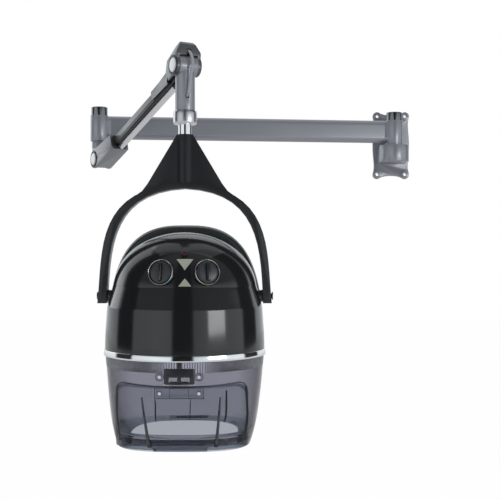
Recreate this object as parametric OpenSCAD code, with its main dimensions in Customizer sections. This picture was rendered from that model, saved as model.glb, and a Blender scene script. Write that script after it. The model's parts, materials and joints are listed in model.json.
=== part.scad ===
// Wall-mounted hood dryer: a swinging wall arm, a levelled lift arm, a yoke and a tilting hood.
// Millimetres. Origin: centre of the wall plate's back face, +X along the wall, +Y into the wall, +Z up.

/* [Wall bracket] */
// Distance between the two columns of wall bolts
bolt_pitch_x = 76; // [60:1:110]
// Distance between the two rows of wall bolts
bolt_pitch_z = 160; // [150:1:200]
// Radius of the wall bolt holes
bolt_hole_r = 4.25; // [3:0.25:6]
// Radius of the plate's corner ears
ear_r = 12; // [10:0.5:16]
// Thickness of the wall plate
plate_t = 10; // [6:0.5:14]
// Distance of the arm's pivot from the wall
pivot_out = 70; // [62:1:90]
// Radius of the boss that carries the arm
boss_r = 39; // [30:1:42]
// Height of the boss
boss_h = 44; // [30:1:60]

/* [Wall arm] */
// Distance between the two upright pivots of the wall arm
arm_len = 784; // [500:1:1000]
// Angle of the arm away from the wall, as it is shown
arm_swing = 7; // [0:0.5:20]
// Height of the arm's oval tube
tube_h = 60; // [50:1:66]
// Depth of the arm's oval tube
tube_d = 30; // [26:1:40]
// Wall of the oval tube
tube_wall = 3; // [2:0.5:5]
// Height of the tube's middle above the origin
tube_z = 29.5; // [28:0.5:32]
// Radius of the upright barrels
barrel_r = 23; // [21:0.5:26]
// Height of the upright barrels
barrel_h = 66; // [62:1:80]
// Radius of the spindles inside the barrels
spindle_r = 10; // [8:0.5:12]
// Radius of the caps on the barrels
cap_r = 21; // [18:0.5:23]
// Height of the caps on the barrels
cap_h = 22; // [10:1:30]

/* [Lift arm] */
// Turn of the lift arm from the wall arm's direction, as it is shown
elbow_turn = 112.6; // [60:0.1:150]
// Distance of the lower lift pivot ahead of the elbow's axis
lift_ahead = 18; // [16:1:24]
// Depth of the lower lift pivot below the barrel
lift_drop = 48.5; // [46:0.5:56]
// Distance between the two lift pivots
lift_len = 517; // [400:1:650]
// Rise of the lift arm, as it is shown
lift_angle = 17.9; // [10:0.1:28]
// Depth of the levelling rod's pivots below the lift pivots
level_drop = 12; // [12:0.5:13]
// Radius of the lift pivot pins
lift_pin_r = 5; // [4:0.25:5]
// Width of the upper rail
rail_w = 24; // [20:1:27]
// Height of the upper rail
rail_h = 14.6; // [13:0.2:18]
// Radius of the bright lower tube
rod_r = 7.5; // [6:0.5:8]
// Outside width of the casting at the lower end
base_w = 44.6; // [42:0.2:50]
// Outside width of the casting at the upper end
head_w = 56; // [52:1:64]

/* [Head post] */
// Radius of the upright post and of its barrel's middle
post_r = 21; // [19:0.5:21]
// Radius of the post's cross barrel
cross_r = 22.5; // [21:0.5:23]
// Drop from the upper lift pivot to the end of the collar
post_drop = 124.5; // [110:0.5:160]
// Radius of the collar
collar_r = 25.7; // [23:0.1:30]
// Height of the collar
collar_h = 28.8; // [20:0.2:34]
// Radius of the bright stem that carries the yoke
stem_r = 14.4; // [10:0.1:15]
// Length of stem that shows below the collar
stem_out = 22; // [10:1:60]

/* [Yoke] */
// Drop from the yoke's top to the hood's pivots
yoke_drop = 343; // [330:1:400]
// Gap between the yoke's ends and the shells at the pivots
yoke_side_gap = 3.6; // [3.2:0.1:12]
// Thickness of the yoke's arms at their ends
yoke_arm_t = 18.5; // [12:0.5:19]
// Front-to-back depth of the yoke's arms
yoke_d = 36; // [24:1:50]
// Radius of the pivot bolts at the yoke's ends
tilt_bolt_r = 5; // [4:0.5:7]

/* [Hood] */
// Radius of the shells where they meet the bright ring
shell_r = 169; // [150:0.5:190]
// Height of the rear shell's top above the pivots
dome_rise = 151; // [140:1:165]
// Step down from the rear shell to the front shell at the top
shell_step = 19; // [12:1:24]
// Wall of the shells
shell_wall = 3; // [2:0.5:4]
// Depth of the bright ring's top below the pivots
ring_drop = 110; // [90:1:130]
// Height of the bright ring
ring_h = 12.7; // [8:0.1:18]
// How far the bright ring stands out from the shells
ring_out = 2.5; // [1:0.5:5]
// Height of the clear bowl below the ring
bowl_h = 181; // [150:1:220]
// Half width of the bowl at its lower rim
bowl_foot_r = 141; // [130:1:150]
// Wall of the bowl and the visor
bowl_wall = 3; // [2:0.5:4]
// Half width of the head opening
mouth_half_w = 113; // [95:1:118]
// Half depth of the head opening
mouth_half_d = 128; // [100:1:128]

/* [Visor and controls] */
// Half width of the visor's window
window_half_w = 130; // [100:1:132]
// Depth of the window's top edge below the ring
window_top = 52; // [46:1:60]
// Height of the control knobs above the hood's pivots
knob_z = 51; // [45:1:60]
// Angle from the panel's middle to each knob, round the hood
knob_spread = 17.5; // [15:0.5:22]
// Angle of the panel's middle from the hood's front
panel_turn = 3; // [-5:0.5:5]
// Radius of the bright rings round the knobs
bezel_r = 27; // [24:0.5:28]
// Radius of the knobs
knob_r = 21.5; // [16:0.5:22]

/* [Hidden] */
$fn = 48;

// Gap between faces that slide on each other
slide_gap = 0.3;
// Radial clearance of a shaft in its hole
run_gap = 0.05;
eps = 0.01;

paint_grey = [0.52, 0.53, 0.57];
dark_chrome = [0.35, 0.35, 0.37];
bright = [0.83, 0.83, 0.85];
satin_black = [0.12, 0.12, 0.13];
gloss_black = [0.05, 0.05, 0.06];
smoke = [0.35, 0.36, 0.4, 0.55];

barrel_z = tube_z - barrel_h / 2 - 2.5;
barrel_top = barrel_z + barrel_h;
boss_top = barrel_z - slide_gap;
lift_z = barrel_z - lift_drop;
lift_run = lift_len * cos(lift_angle);
head_z = lift_z + lift_len * sin(lift_angle);
heading = 180 + arm_swing + elbow_turn;

// Point on a cubic curve with four control points
function curve_point(p, t) = pow(1 - t, 3) * p[0] + 3 * t * pow(1 - t, 2) * p[1]
    + 3 * t * t * (1 - t) * p[2] + t * t * t * p[3];
function curve(p, steps) = [for (i = [0:steps]) curve_point(p, i / steps)];
function reversed(list) = [for (i = [len(list) - 1:-1:0]) list[i]];
function after_first(list) = [for (i = [1:len(list) - 1]) list[i]];
// The same outline drawn in by a wall, towards the axis and down
function inset(list, side, down) = [for (p = list) [max(p[0] - side, 0), p[1] - down]];

// Places of the moving groups, each with its own axes
module at_arm() {
    translate([0, -pivot_out, 0]) rotate([0, 0, 180 + arm_swing]) children();
}
module at_elbow() {
    at_arm() translate([arm_len, 0, 0]) rotate([0, 0, elbow_turn]) children();
}
module at_lift() {
    at_elbow() translate([lift_ahead, 0, lift_z]) rotate([0, -lift_angle, 0]) children();
}
module at_head() {
    at_elbow() translate([lift_ahead + lift_run, 0, head_z]) children();
}
module at_yoke() {
    at_head() translate([0, 0, -post_drop - stem_out]) rotate([0, 0, -heading]) children();
}
module at_hood() {
    at_yoke() translate([0, 0, -yoke_drop]) children();
}
// Upright outline in the X-Z plane, as thick as t along Y and centred on y = 0
module upright(t) {
    translate([0, t / 2, 0]) rotate([90, 0, 0]) linear_extrude(t) children();
}
// Cylinder along Y, centred on y = 0
module cross_pin(r, length) {
    translate([0, length / 2, 0]) rotate([90, 0, 0]) cylinder(r = r, h = length);
}

// Wall bracket
module at_bolts() {
    for (x = [-1, 1], z = [-1, 1]) translate([x * bolt_pitch_x / 2, 0, z * bolt_pitch_z / 2]) children();
}
// The sides swell at the middle, draw in and flare out again to the ears, and the ends are hollow between them
module plate_outline() {
    ear_x = bolt_pitch_x / 2;
    ear_z = bolt_pitch_z / 2;
    swell = ear_x + ear_r;
    ear = [for (a = [-20:10:110]) [ear_x + ear_r * cos(a), ear_z + ear_r * sin(a)]];
    side = curve([[swell, 0], [swell, 0.45 * ear_z], [swell - 7, 0.7 * ear_z], ear[0]], 10);
    end = curve([ear[len(ear) - 1], [ear_x - 12, ear_z + 6], [0.45 * ear_x, ear_z + 3.5], [0, ear_z + 3]], 8);
    corner = concat(side, after_first(ear), after_first(end));
    mirrored_outline(concat(reversed(corner), [for (p = after_first(corner)) [p[0], -p[1]]]));
}
module wall_plate() color(paint_grey) {
    difference() {
        union() {
            translate([0, -plate_t / 2, 0]) upright(plate_t) plate_outline();
            at_bolts() translate([0, -plate_t / 2 - 2, 0]) cross_pin(ear_r - 1, plate_t + 4);
            translate([0, -pivot_out, boss_top - boss_h]) cylinder(r = boss_r, h = boss_h);
            translate([-boss_r + 3, -pivot_out, boss_top - boss_h])
                cube([2 * boss_r - 6, pivot_out - plate_t / 2, boss_h]);
        }
        at_bolts() cross_pin(bolt_hole_r, 4 * plate_t);
        translate([0, -pivot_out, boss_top - boss_h - 1])
            cylinder(r = spindle_r + run_gap, h = boss_h + 2);
    }
}
module spindle(bottom) {
    translate([0, 0, bottom]) cylinder(r = spindle_r, h = barrel_top - 3 - bottom);
}
module wall_spindle() color(bright) translate([0, -pivot_out, 0]) spindle(boss_top - boss_h);

// Wall arm
module oval(inset_by) {
    r = tube_d / 2 - inset_by;
    lift = (tube_h - tube_d) / 2;
    square([2 * r, 2 * lift], center = true);
    for (s = [-1, 1]) translate([0, s * lift]) circle(r = r);
}
socket_len = barrel_r + 7;
plug_len = 32;
module oval_bar(inset_by, x, length) {
    translate([x, 0, tube_z]) rotate([90, 0, 90]) linear_extrude(length) oval(inset_by);
}
module arm_tube() color(paint_grey) at_arm() difference() {
    oval_bar(0, socket_len, arm_len - 2 * socket_len);
    oval_bar(tube_wall, socket_len - 1, arm_len - 2 * socket_len + 2);
}
bush_r = spindle_r + 4;
module arm_end() {
    difference() {
        union() {
            translate([0, 0, barrel_z]) cylinder(r = barrel_r, h = barrel_h);
            oval_bar(0, 0, socket_len);
            oval_bar(tube_wall + 0.1, socket_len - eps, plug_len);
        }
        translate([0, 0, barrel_z - 1]) cylinder(r = bush_r + 0.02, h = barrel_h + 2);
        translate([-1, -barrel_r * 2, barrel_top]) cube([barrel_r * 3, barrel_r * 4, tube_h]);
    }
}
module wall_barrel() color(paint_grey) at_arm() arm_end();
module elbow_barrel() color(paint_grey) at_arm() translate([arm_len, 0, 0]) mirror([1, 0, 0]) arm_end();
module at_both_barrels() {
    at_arm() for (x = [0, arm_len]) translate([x, 0, 0]) children();
}
module arm_caps() color(dark_chrome) at_both_barrels() {
    translate([0, 0, barrel_top]) rotate_extrude() polygon(concat(
        [[0, 0], [cap_r, 0]],
        [for (a = [0:15:90]) [cap_r - 2 + 2 * cos(a), cap_h - 2 + 2 * sin(a)]],
        [[0, cap_h]]));
}
module arm_bushes() color(satin_black) at_both_barrels() difference() {
    translate([0, 0, barrel_z]) cylinder(r = bush_r, h = barrel_h);
    translate([0, 0, barrel_z - 1]) cylinder(r = spindle_r + run_gap, h = barrel_h + 2);
}

// Elbow knuckle: a round neck, flattened lower down where the lift arm's cheeks pass
cheek_t = 7.3;
tang_t = base_w - 2 * cheek_t - 2 * slide_gap;
neck_r = 19.5;
neck_bottom = lift_z + 31;
knuckle_bottom = lift_z - 17;
level_y = -6;
level_slot = 7;
level_pin_r = 3;
level_rod_r = 2.5;
eye_t = level_slot - 2 * slide_gap;
// Room for the rod through its whole travel: towards the lift arm it also rises past the pivot
module level_notch() {
    translate([-40, level_y - level_slot / 2, -level_drop - 13]) cube([80, level_slot, 20]);
    translate([0, level_y - level_slot / 2, -level_drop]) cube([40, level_slot, level_drop + 9]);
}
module knuckle() color(paint_grey) at_elbow() difference() {
    union() {
        translate([0, 0, neck_bottom]) cylinder(r = neck_r, h = boss_top - neck_bottom);
        intersection() {
            translate([0, 0, knuckle_bottom]) cylinder(r = neck_r, h = boss_top - knuckle_bottom);
            translate([-neck_r, -tang_t / 2, knuckle_bottom])
                cube([2 * neck_r, tang_t, neck_bottom - knuckle_bottom + 1]);
        }
        translate([lift_ahead, 0, lift_z]) cross_pin(18, tang_t);
        translate([0, -tang_t / 2, lift_z]) cube([lift_ahead, tang_t, 18]);
    }
    translate([lift_ahead, 0, lift_z]) {
        cross_pin(lift_pin_r + run_gap, 2 * base_w);
        level_notch();
        translate([0, 0, -level_drop]) cross_pin(level_pin_r + 0.02, 2 * base_w);
    }
    translate([0, 0, neck_bottom - 10]) cylinder(r = spindle_r + 0.02, h = 60);
}
module elbow_spindle() color(bright) at_elbow() spindle(neck_bottom - 10);
// Pin of the levelling rod, fixed on both sides of the rod's slot
module level_pin(left, right) {
    translate([0, (left + right) / 2, -level_drop]) cross_pin(level_pin_r, right - left);
}
module level_pin_lower() color(bright)
    at_elbow() translate([lift_ahead, 0, lift_z]) level_pin(-tang_t / 2, tang_t / 2);

// Lift arm
base_len = 122;
base_boss_r = 23;
fork_len = 40;
fork_floor = 19.5;
head_cheek_t = head_w / 2 - post_r - slide_gap;
head_start = -150;
rail_x0 = base_len - 30;
rail_x1 = lift_len - 62;
rail_wall = 2.5;
rail_low = -5.8;
rail_skirt = -13.5;
rod_way = [-15.6, rail_low];
rod_y = 5;
base_top = 13;
base_low = -23;
rod_z = -15;
rod_x0 = base_len - 14;
rod_x1 = lift_len - 66;
web_t = 4;
module base_side() {
    polygon([[0, base_boss_r], [base_len, base_top], [base_len, base_low], [0, -base_boss_r]]);
    circle(r = base_boss_r);
}
// Section of the rail: a channel, with its side towards the front drawn down past the rod
module rail_outline() {
    translate([-rail_w / 2, rail_low]) square([rail_w, rail_h]);
    translate([-rail_w / 2, rail_skirt]) square([rail_wall, rail_low - rail_skirt + 1]);
}
module rail_way() {
    translate([rail_x0 - 1, 0, 0]) rotate([90, 0, 90]) linear_extrude(base_len - rail_x0 + 8) rail_outline();
}
module base_casting() color(paint_grey) at_lift() difference() {
    union() {
        for (s = [-1, 1]) translate([0, s * (base_w - cheek_t) / 2, 0]) upright(cheek_t) base_side();
        intersection() {
            upright(base_w) base_side();
            translate([0, -base_w / 2, -base_boss_r]) cube([base_len, base_w, 2 * base_boss_r]);
        }
    }
    // The fork is open above and at its end, and the box is hollow up to its mouth
    upright(base_w - 2 * cheek_t) polygon([[-60, -60], [0, -60], [0, -fork_floor], [fork_len, -fork_floor],
        [fork_len, 60], [-60, 60]]);
    upright(base_w - 2 * cheek_t) polygon([[fork_len - 1, 14], [base_len - 14, 10.5], [base_len - 14, -19],
        [fork_len - 1, -fork_floor]]);
    rail_way();
    translate([base_len - 20, rod_y, rod_z]) rotate([0, 90, 0]) cylinder(r = rod_r + 0.05, h = 30);
    translate([base_len - 20, level_y - level_slot / 2, rod_way[0]]) cube([30, level_slot, rod_way[1] - rod_way[0] + 1]);
    cross_pin(lift_pin_r + 0.02, 2 * base_w);
}
module lift_rail() color(paint_grey) at_lift() difference() {
    translate([rail_x0, 0, 0]) rotate([90, 0, 90]) linear_extrude(rail_x1 - rail_x0) rail_outline();
    translate([rail_x0 - 1, -rail_w / 2 + rail_wall, rail_low - 1])
        cube([rail_x1 - rail_x0 + 2, rail_w - 2 * rail_wall, rail_h - rail_wall + 1]);
}
// Dark seal round the rail and the tube where they leave the lower casting
seal_t = 3;
seal_r = 11;
module seal_outline() {
    half = base_w / 2 - 2 - seal_r;
    for (y = [-half, half], z = [base_low + 1.5 + seal_r, base_top - 1 - seal_r]) translate([y, z]) circle(r = seal_r);
    translate([-half - seal_r, base_low + 1.5 + seal_r]) square([2 * (half + seal_r), base_top - base_low - 2.5 - 2 * seal_r]);
    translate([-half, base_low + 1.5]) square([2 * half, base_top - base_low - 2.5]);
}
module arm_seal() color(satin_black) at_lift() difference() {
    translate([base_len, 0, 0]) rotate([90, 0, 90]) linear_extrude(seal_t) seal_outline();
    rail_way();
    translate([base_len - 1, rod_y, rod_z]) rotate([0, 90, 0]) cylinder(r = rod_r + 0.05, h = seal_t + 2);
    translate([base_len - 1, level_y - level_slot / 2, rod_way[0]]) cube([seal_t + 2, level_slot, rod_way[1] - rod_way[0] + 1]);
}
module bright_tube() color(bright) at_lift() translate([rod_x0, rod_y, rod_z]) rotate([0, 90, 0])
    difference() {
        cylinder(r = rod_r, h = rod_x1 - rod_x0);
        translate([0, 0, -1]) cylinder(r = rod_r - 1.5, h = rod_x1 - rod_x0 + 2);
    }
// Upper casting: a sleeve on the rail, a roof over the post's barrel and two cheeks with the pivot's bosses
head_boss_r = 22;
head_top = 48;
head_front = 26;
// Half width of the room for the rail's skirt and the rod under the sleeve
rod_room = rail_w / 2 + 1.6;
sleeve_w = 2 * rod_room + 4;
roof_w = 28;
lead_room = 38;
module head_side() {
    polygon([[head_start, 10.5], [-100, 11.5], [-60, 15], [-30, 26], [-6, head_top - 6], [6, head_top],
        [head_front - 4, head_top - 3], [head_front, head_top - 10], [head_front - 1, 15],
        [0.8 * head_boss_r, 2], [0, -0.5 * head_boss_r], [-10, -0.8 * head_boss_r], [-60, -12], [head_start, -9.5]]);
}
module head_plan() {
    half = [[head_start, sleeve_w / 2], [-66, sleeve_w / 2], [-22, head_w / 2], [head_front, head_w / 2]];
    polygon(concat(half, [for (p = reversed(half)) [p[0], -p[1]]]));
}
module head_end_view() {
    mirrored_outline([[head_w / 2, -head_boss_r], [head_w / 2, head_boss_r - 1], [roof_w / 2, head_top - 1], [roof_w / 2 - 2, head_top]]);
}
module head_casting() color(paint_grey) at_lift() translate([lift_len, 0, 0]) difference() {
    union() {
        intersection() {
            upright(head_w) head_side();
            translate([0, 0, -60]) linear_extrude(120) head_plan();
            translate([head_start, 0, 0]) rotate([90, 0, 90]) linear_extrude(head_front - head_start) head_end_view();
        }
        cross_pin(head_boss_r, head_w);
    }
    // Room for the post's barrel, the post through its whole travel, and the lead
    cross_pin(cross_r + 1, 2 * post_r + 2 * slide_gap);
    upright(2 * post_r + 2 * slide_gap) polygon([[40, -60], [-62, -60], [-62, rail_low + 1], [-34, rail_low + 1],
        [-26, 9], [-16, 18], [0, cross_r + 1], [18, 14], [40, 14]]);
    translate([0, lead_top_y, 0]) cross_pin(lead_room, 2 * lead_r + 4);
    translate([head_start - 1, -rail_w / 2, rail_low]) cube([rail_x1 - lift_len - head_start + 1, rail_w, rail_h]);
    translate([head_start - 1, -rod_room, -40]) cube([100, 2 * rod_room, 40 + rail_low + eps]);
    cross_pin(lift_pin_r + 0.02, 2 * head_w);
}
module lift_pins() color(bright) at_lift() {
    cross_pin(lift_pin_r, base_w);
    translate([lift_len, 0, 0]) cross_pin(lift_pin_r, head_w);
}
ring_t = 1.5;
pivot_cap_t = 3;
module on_pivot_faces() {
    for (s = [-1, 1]) {
        translate([0, s * base_w / 2, 0]) rotate([-90 * s, 0, 0]) children();
        translate([lift_len, s * head_w / 2, 0]) rotate([-90 * s, 0, 0]) children();
    }
}
module pivot_rings() color(satin_black) at_lift() on_pivot_faces() difference() {
    cylinder(r = head_boss_r - 1, h = ring_t);
    translate([0, 0, -1]) cylinder(r = 16, h = ring_t + 2);
}
module pivot_caps() color("white") at_lift() on_pivot_faces() {
    cylinder(r = 15.5, h = ring_t);
    translate([0, 0, ring_t]) cylinder(r1 = 15.5, r2 = 13.5, h = pivot_cap_t - ring_t);
}
module tube_plug() color(satin_black) at_lift() difference() {
    union() {
        translate([rod_x1, rod_y, rod_z]) rotate([0, 90, 0]) cylinder(r = rod_r, h = 16);
        translate([rod_x1 - 25, rod_y, rod_z]) rotate([0, 90, 0]) cylinder(r = rod_r - 1.55, h = 30);
        translate([rod_x1 + 5, rod_y - 6, rod_z]) cube([9, head_w / 2 - head_cheek_t - rod_y + 6, 9]);
    }
}
module balance_strut() color(satin_black) at_lift() {
    translate([rail_x0 + 6, 0, 1.4]) rotate([0, 90, 0]) cylinder(r = 4.5, h = 250);
    translate([rail_x0 + 256, 0, 1.4]) rotate([0, 90, 0]) cylinder(r = 2.5, h = rail_x1 - rail_x0 - 262);
}
eye_r = 6;
module level_rod() color(satin_black) at_lift() translate([0, level_y, 0]) rotate([0, lift_angle, 0]) {
    // The rod runs parallel to the line between the lift pivots, straight below it
    translate([0, 0, -level_drop]) rotate([0, -lift_angle, 0]) difference() {
        union() {
            for (x = [0, lift_len]) translate([x, 0, 0]) cross_pin(eye_r, eye_t);
            rotate([0, 90, 0]) cylinder(r = level_rod_r, h = lift_len);
        }
        for (x = [0, lift_len]) translate([x, 0, 0]) cross_pin(level_pin_r + slide_gap, 2 * eye_t);
    }
}

// Head post
stem_bore_h = 24;
post_bush_r = stem_r + 2.5;
module head_post() color(paint_grey) at_head() difference() {
    union() {
        cross_pin(cross_r, 2 * post_r);
        translate([0, 0, -post_drop + collar_h]) cylinder(r = post_r, h = post_drop - collar_h);
    }
    cross_pin(lift_pin_r + run_gap, 4 * post_r);
    translate([-40, level_y - level_slot / 2, -level_drop - 24]) cube([48, level_slot, 38]);
    translate([0, 0, -level_drop]) cross_pin(level_pin_r + 0.02, 4 * post_r);
    translate([0, 0, -post_drop + collar_h - 1]) cylinder(r = post_bush_r + 0.02, h = stem_bore_h);
    // Way of the lead into the hollow stem
    translate([0, 0, -post_drop + collar_h]) cylinder(r = 9, h = stem_bore_h + 12);
    translate([0, lead_foot_y, lead_foot_z]) rotate([0, 90, 0]) cylinder(r = lead_r + 1.6, h = 60);
}
module post_collar() color(bright) at_head() translate([0, 0, -post_drop]) difference() {
    rotate_extrude() polygon(concat([[0, 0], [collar_r - 2, 0]],
        [for (a = [-80:20:80]) [collar_r - 1 + cos(a), collar_h / 2 + (collar_h / 2 - 2) * sin(a)]],
        [[collar_r - 2, collar_h], [0, collar_h]]));
    translate([0, 0, -1]) cylinder(r = stem_r + 0.1, h = collar_h + 2);
}
module post_bush() color(satin_black) at_head() translate([0, 0, -post_drop + collar_h]) difference() {
    cylinder(r = post_bush_r, h = stem_bore_h - 4);
    translate([0, 0, -1]) cylinder(r = stem_r + run_gap, h = stem_bore_h);
}
module level_pin_upper() color(bright) at_head() level_pin(-post_r + 1, post_r - 1);
// Lead from the upper casting over the barrel into the post, concentric with the pivot
lead_r = 3.2;
lead_arc_r = 33;
lead_arc = 120;
lead_lean = 7;
lead_fall = 55;
lead_bend_r = 9;
lead_top_y = 1.5;
lead_foot_y = -4.5;
lead_foot_x = (lead_arc_r - lead_bend_r) * cos(lead_lean) - lead_fall * sin(lead_lean);
lead_foot_z = -(lead_arc_r - lead_bend_r) * sin(lead_lean) - lead_fall * cos(lead_lean) - lead_bend_r;
// Stations along the lead: x, z and the angle of the normal, for an arc about a centre
function lead_arc_at(centre, r, from, to, steps) =
    [for (i = [0:steps]) let (a = from + (to - from) * i / steps) [centre[0] + r * cos(a), centre[1] + r * sin(a), a]];
lead_sides = 16;
// Sideways place of the lead, which leans from its top to its foot
function lead_y_at(z) = lead_top_y + (lead_foot_y - lead_top_y) * min(max(z / (lead_foot_z + lead_bend_r), 0), 1);
module power_lead() color([0.62, 0.63, 0.66]) at_head() {
    stations = concat(lead_arc_at([0, 0], lead_arc_r, lead_arc, -lead_lean, 14),
        lead_arc_at([lead_foot_x, lead_foot_z + lead_bend_r], lead_bend_r, -lead_lean, -90, 8),
        [[lead_foot_x - 12, lead_foot_z, -90]]);
    last = len(stations) - 1;
    points = [for (p = stations, i = [0:lead_sides - 1]) let (b = i * 360 / lead_sides)
        [p[0] + lead_r * cos(b) * cos(p[2]), lead_y_at(p[1]) + lead_r * sin(b), p[1] + lead_r * cos(b) * sin(p[2])]];
    sides = [for (j = [0:last - 1], i = [0:lead_sides - 1]) let (m = (i + 1) % lead_sides, k = j * lead_sides)
        [k + i, k + m, k + lead_sides + m, k + lead_sides + i]];
    polyhedron(points = points, faces = concat(sides,
        [[for (i = [lead_sides - 1:-1:0]) i], [for (i = [0:lead_sides - 1]) last * lead_sides + i]]));
}

// Yoke
module yoke_stem() color(bright) at_yoke() translate([0, 0, -60]) difference() {
    cylinder(r = stem_r, h = 60 + stem_out + collar_h + stem_bore_h - 8);
    translate([0, 0, -1]) cylinder(r = stem_r - 4, h = 200);
}
yoke_foot = yoke_drop + 15;
rear_curve = curve([[21, dome_rise], [shell_r - 21, dome_rise], [shell_r, dome_rise - 120.5], [shell_r, -ring_drop]], 20);
pivot_shell_r = lookup(0, [for (p = rear_curve) [p[1], p[0]]]);
arch_half_w = pivot_shell_r + yoke_side_gap;
yoke_half_w = arch_half_w + yoke_arm_t;
arch_top = 115;
arch_inner = curve([[0, -arch_top], [arch_half_w * 0.93, -arch_top - 7],
    [arch_half_w - 4, -arch_top - 117], [arch_half_w, -yoke_foot]], 14);
arch_outer = curve([[105, -130], [yoke_half_w, -176],
    [yoke_half_w - 9, -273], [yoke_half_w, -yoke_foot]], 12);
web_outer = [[17, 0], [79, -104], [91, -120]];
module mirrored_outline(half) {
    polygon(concat(half, [for (p = reversed(half)) [-p[0], p[1]]]));
}
module yoke_outline() {
    difference() {
        mirrored_outline(concat(web_outer, arch_outer));
        mirrored_outline(concat(arch_inner, [[arch_half_w, -yoke_foot - 1]]));
    }
}
module yoke() color(satin_black) at_yoke() difference() {
    union() {
        upright(16) yoke_outline();
        upright(yoke_d) difference() {
            mirrored_outline(concat([[0, -arch_top + 13], [40, -arch_top + 11]], arch_outer));
            mirrored_outline(concat(arch_inner, [[arch_half_w, -yoke_foot - 1]]));
        }
        translate([0, 0, -arch_top + 4]) cylinder(r = stem_r + 3, h = arch_top - 4);
    }
    translate([0, 0, -60 - eps]) cylinder(r = stem_r + 0.02, h = 70);
    // Bolt holes, and spot faces round them that the hood's hubs stand against
    at_both_sides() translate([0, 0, -yoke_drop]) rotate([0, 90, 0]) {
        translate([0, 0, arch_half_w - 5]) cylinder(r = tilt_bolt_r + 0.02, h = yoke_arm_t + 10);
        translate([0, 0, arch_half_w - hub_in]) cylinder(r = hub_r + 1, h = hub_in);
    }
}
hub_face = arch_half_w - slide_gap;
hub_r = 13;
hub_in = 24;
module at_both_sides() {
    for (s = [-1, 1]) mirror([s < 0 ? 1 : 0, 0, 0]) children();
}
module tilt_bolts() color(dark_chrome) at_hood() at_both_sides() rotate([0, 90, 0]) {
    translate([0, 0, hub_face - hub_in + 2]) cylinder(r = tilt_bolt_r, h = yoke_half_w - hub_face + hub_in - 2);
    translate([0, 0, yoke_half_w]) cylinder(r = tilt_bolt_r * 1.7, h = 3);
}

// Hood shells, turned about the hood's upright axis
front_top = dome_rise - shell_step;
crease_z = 22;
crease_r = shell_r - 17;
front_upper = curve([[0, front_top], [crease_r - 60, front_top],
    [crease_r - 9, crease_z + 66], [crease_r, crease_z]], 14);
front_lower = curve([[crease_r + 7, crease_z - 4], [shell_r - 3, -20],
    [shell_r, -60], [shell_r, -ring_drop]], 8);
front_curve = concat(front_upper, front_lower);
module half_turn(outline) {
    rotate_extrude(angle = 180, $fn = 96) polygon(outline);
}
function walled(outer) = concat([[0, outer[0][1]]], outer,
    reversed(concat([[0, outer[0][1] - shell_wall]],
        [for (p = outer) [max(p[0] - shell_wall, 0), p[1] - (p[1] > -ring_drop + 1 ? shell_wall : 0)]])));
module hub_bores() {
    at_both_sides() rotate([0, 90, 0]) translate([0, 0, hub_face - hub_in - 1])
        cylinder(r = tilt_bolt_r + run_gap, h = hub_in + 40);
}
module rear_shell() color(gloss_black) at_hood() difference() {
    union() {
        half_turn(walled(rear_curve));
        // Flange that closes the step down to the front shell
        translate([0, 2, 0]) upright(4) difference() {
            mirrored_outline(concat([[0, dome_rise]], rear_curve));
            mirrored_outline(concat([[0, front_top - shell_wall - 3]],
                inset([for (p = front_curve) if (p[0] > 0) p], shell_wall + 3, shell_wall + 3),
                [[shell_r - shell_wall - 3, -ring_drop - 1]]));
        }
        at_both_sides() rotate([0, 90, 0]) translate([0, 0, hub_face - hub_in]) cylinder(r = hub_r, h = hub_in);
    }
    hub_bores();
    // Room for the inner dome's flange
    translate([0, 0, -ring_drop - 1]) cylinder(r = shell_r - shell_wall + 0.5, h = dome_wall + 1.5);
    // Air inlet slots
    for (i = [-4:4]) translate([i * 11 - 2.5, 70, 40]) cube([5, shell_r, 60]);
}
knob_axis_r = crease_r - 12;
// Face of the control seats, square to the hood's radius and leaning back a little
knob_lean = 10;
module at_control(azimuth) {
    rotate([0, 0, azimuth]) translate([0, -knob_axis_r, knob_z]) rotate([90 - knob_lean, 0, 0]) children();
}
timer_azimuth = panel_turn - knob_spread;
heat_azimuth = panel_turn + knob_spread;
lamp_z = knob_z + 38;
lamp_r = crease_r - 31;
module at_lamp() {
    rotate([0, 0, panel_turn]) translate([0, -lamp_r, lamp_z]) rotate([60, 0, 0]) children();
}
shaft_r = 3;
seat_h = 12;
module front_shell() color(gloss_black) at_hood() difference() {
    union() {
        mirror([0, 1, 0]) difference() {
            half_turn(walled(front_curve));
            translate([-shell_r - 5, -1, -ring_drop - 1]) cube([2 * shell_r + 10, 1.3, 300]);
        }
        for (a = [timer_azimuth, heat_azimuth]) at_control(a) translate([0, 0, -8])
            cylinder(r = bezel_r - 1, h = 8 + seat_h);
    }
    for (a = [timer_azimuth, heat_azimuth]) at_control(a) {
        translate([0, 0, -40]) cylinder(r = shaft_r + 1, h = 80);
        translate([0, 0, -9]) cylinder(r = bezel_r - 4, h = seat_h + 9 - 2);
    }
    at_lamp() translate([0, 0, -10]) cylinder(r = 4, h = 40);
    at_both_sides() rotate([0, 90, 0]) translate([0, 0, hub_face - hub_in - 1]) cylinder(r = hub_r + 0.3, h = 60);
}
ring_r = shell_r + ring_out;
module trim_ring() color(bright) at_hood() translate([0, 0, -ring_drop - ring_h]) rotate_extrude($fn = 96)
    polygon(concat([[shell_r - shell_wall - 6, 0], [ring_r - 1, 0]],
        [for (a = [-60:30:60]) [ring_r - 2 + 2 * cos(a), ring_h / 2 + (ring_h / 2 - 0.5) * sin(a)]],
        [[ring_r - 1, ring_h], [shell_r - shell_wall - 6, ring_h]]));

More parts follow.
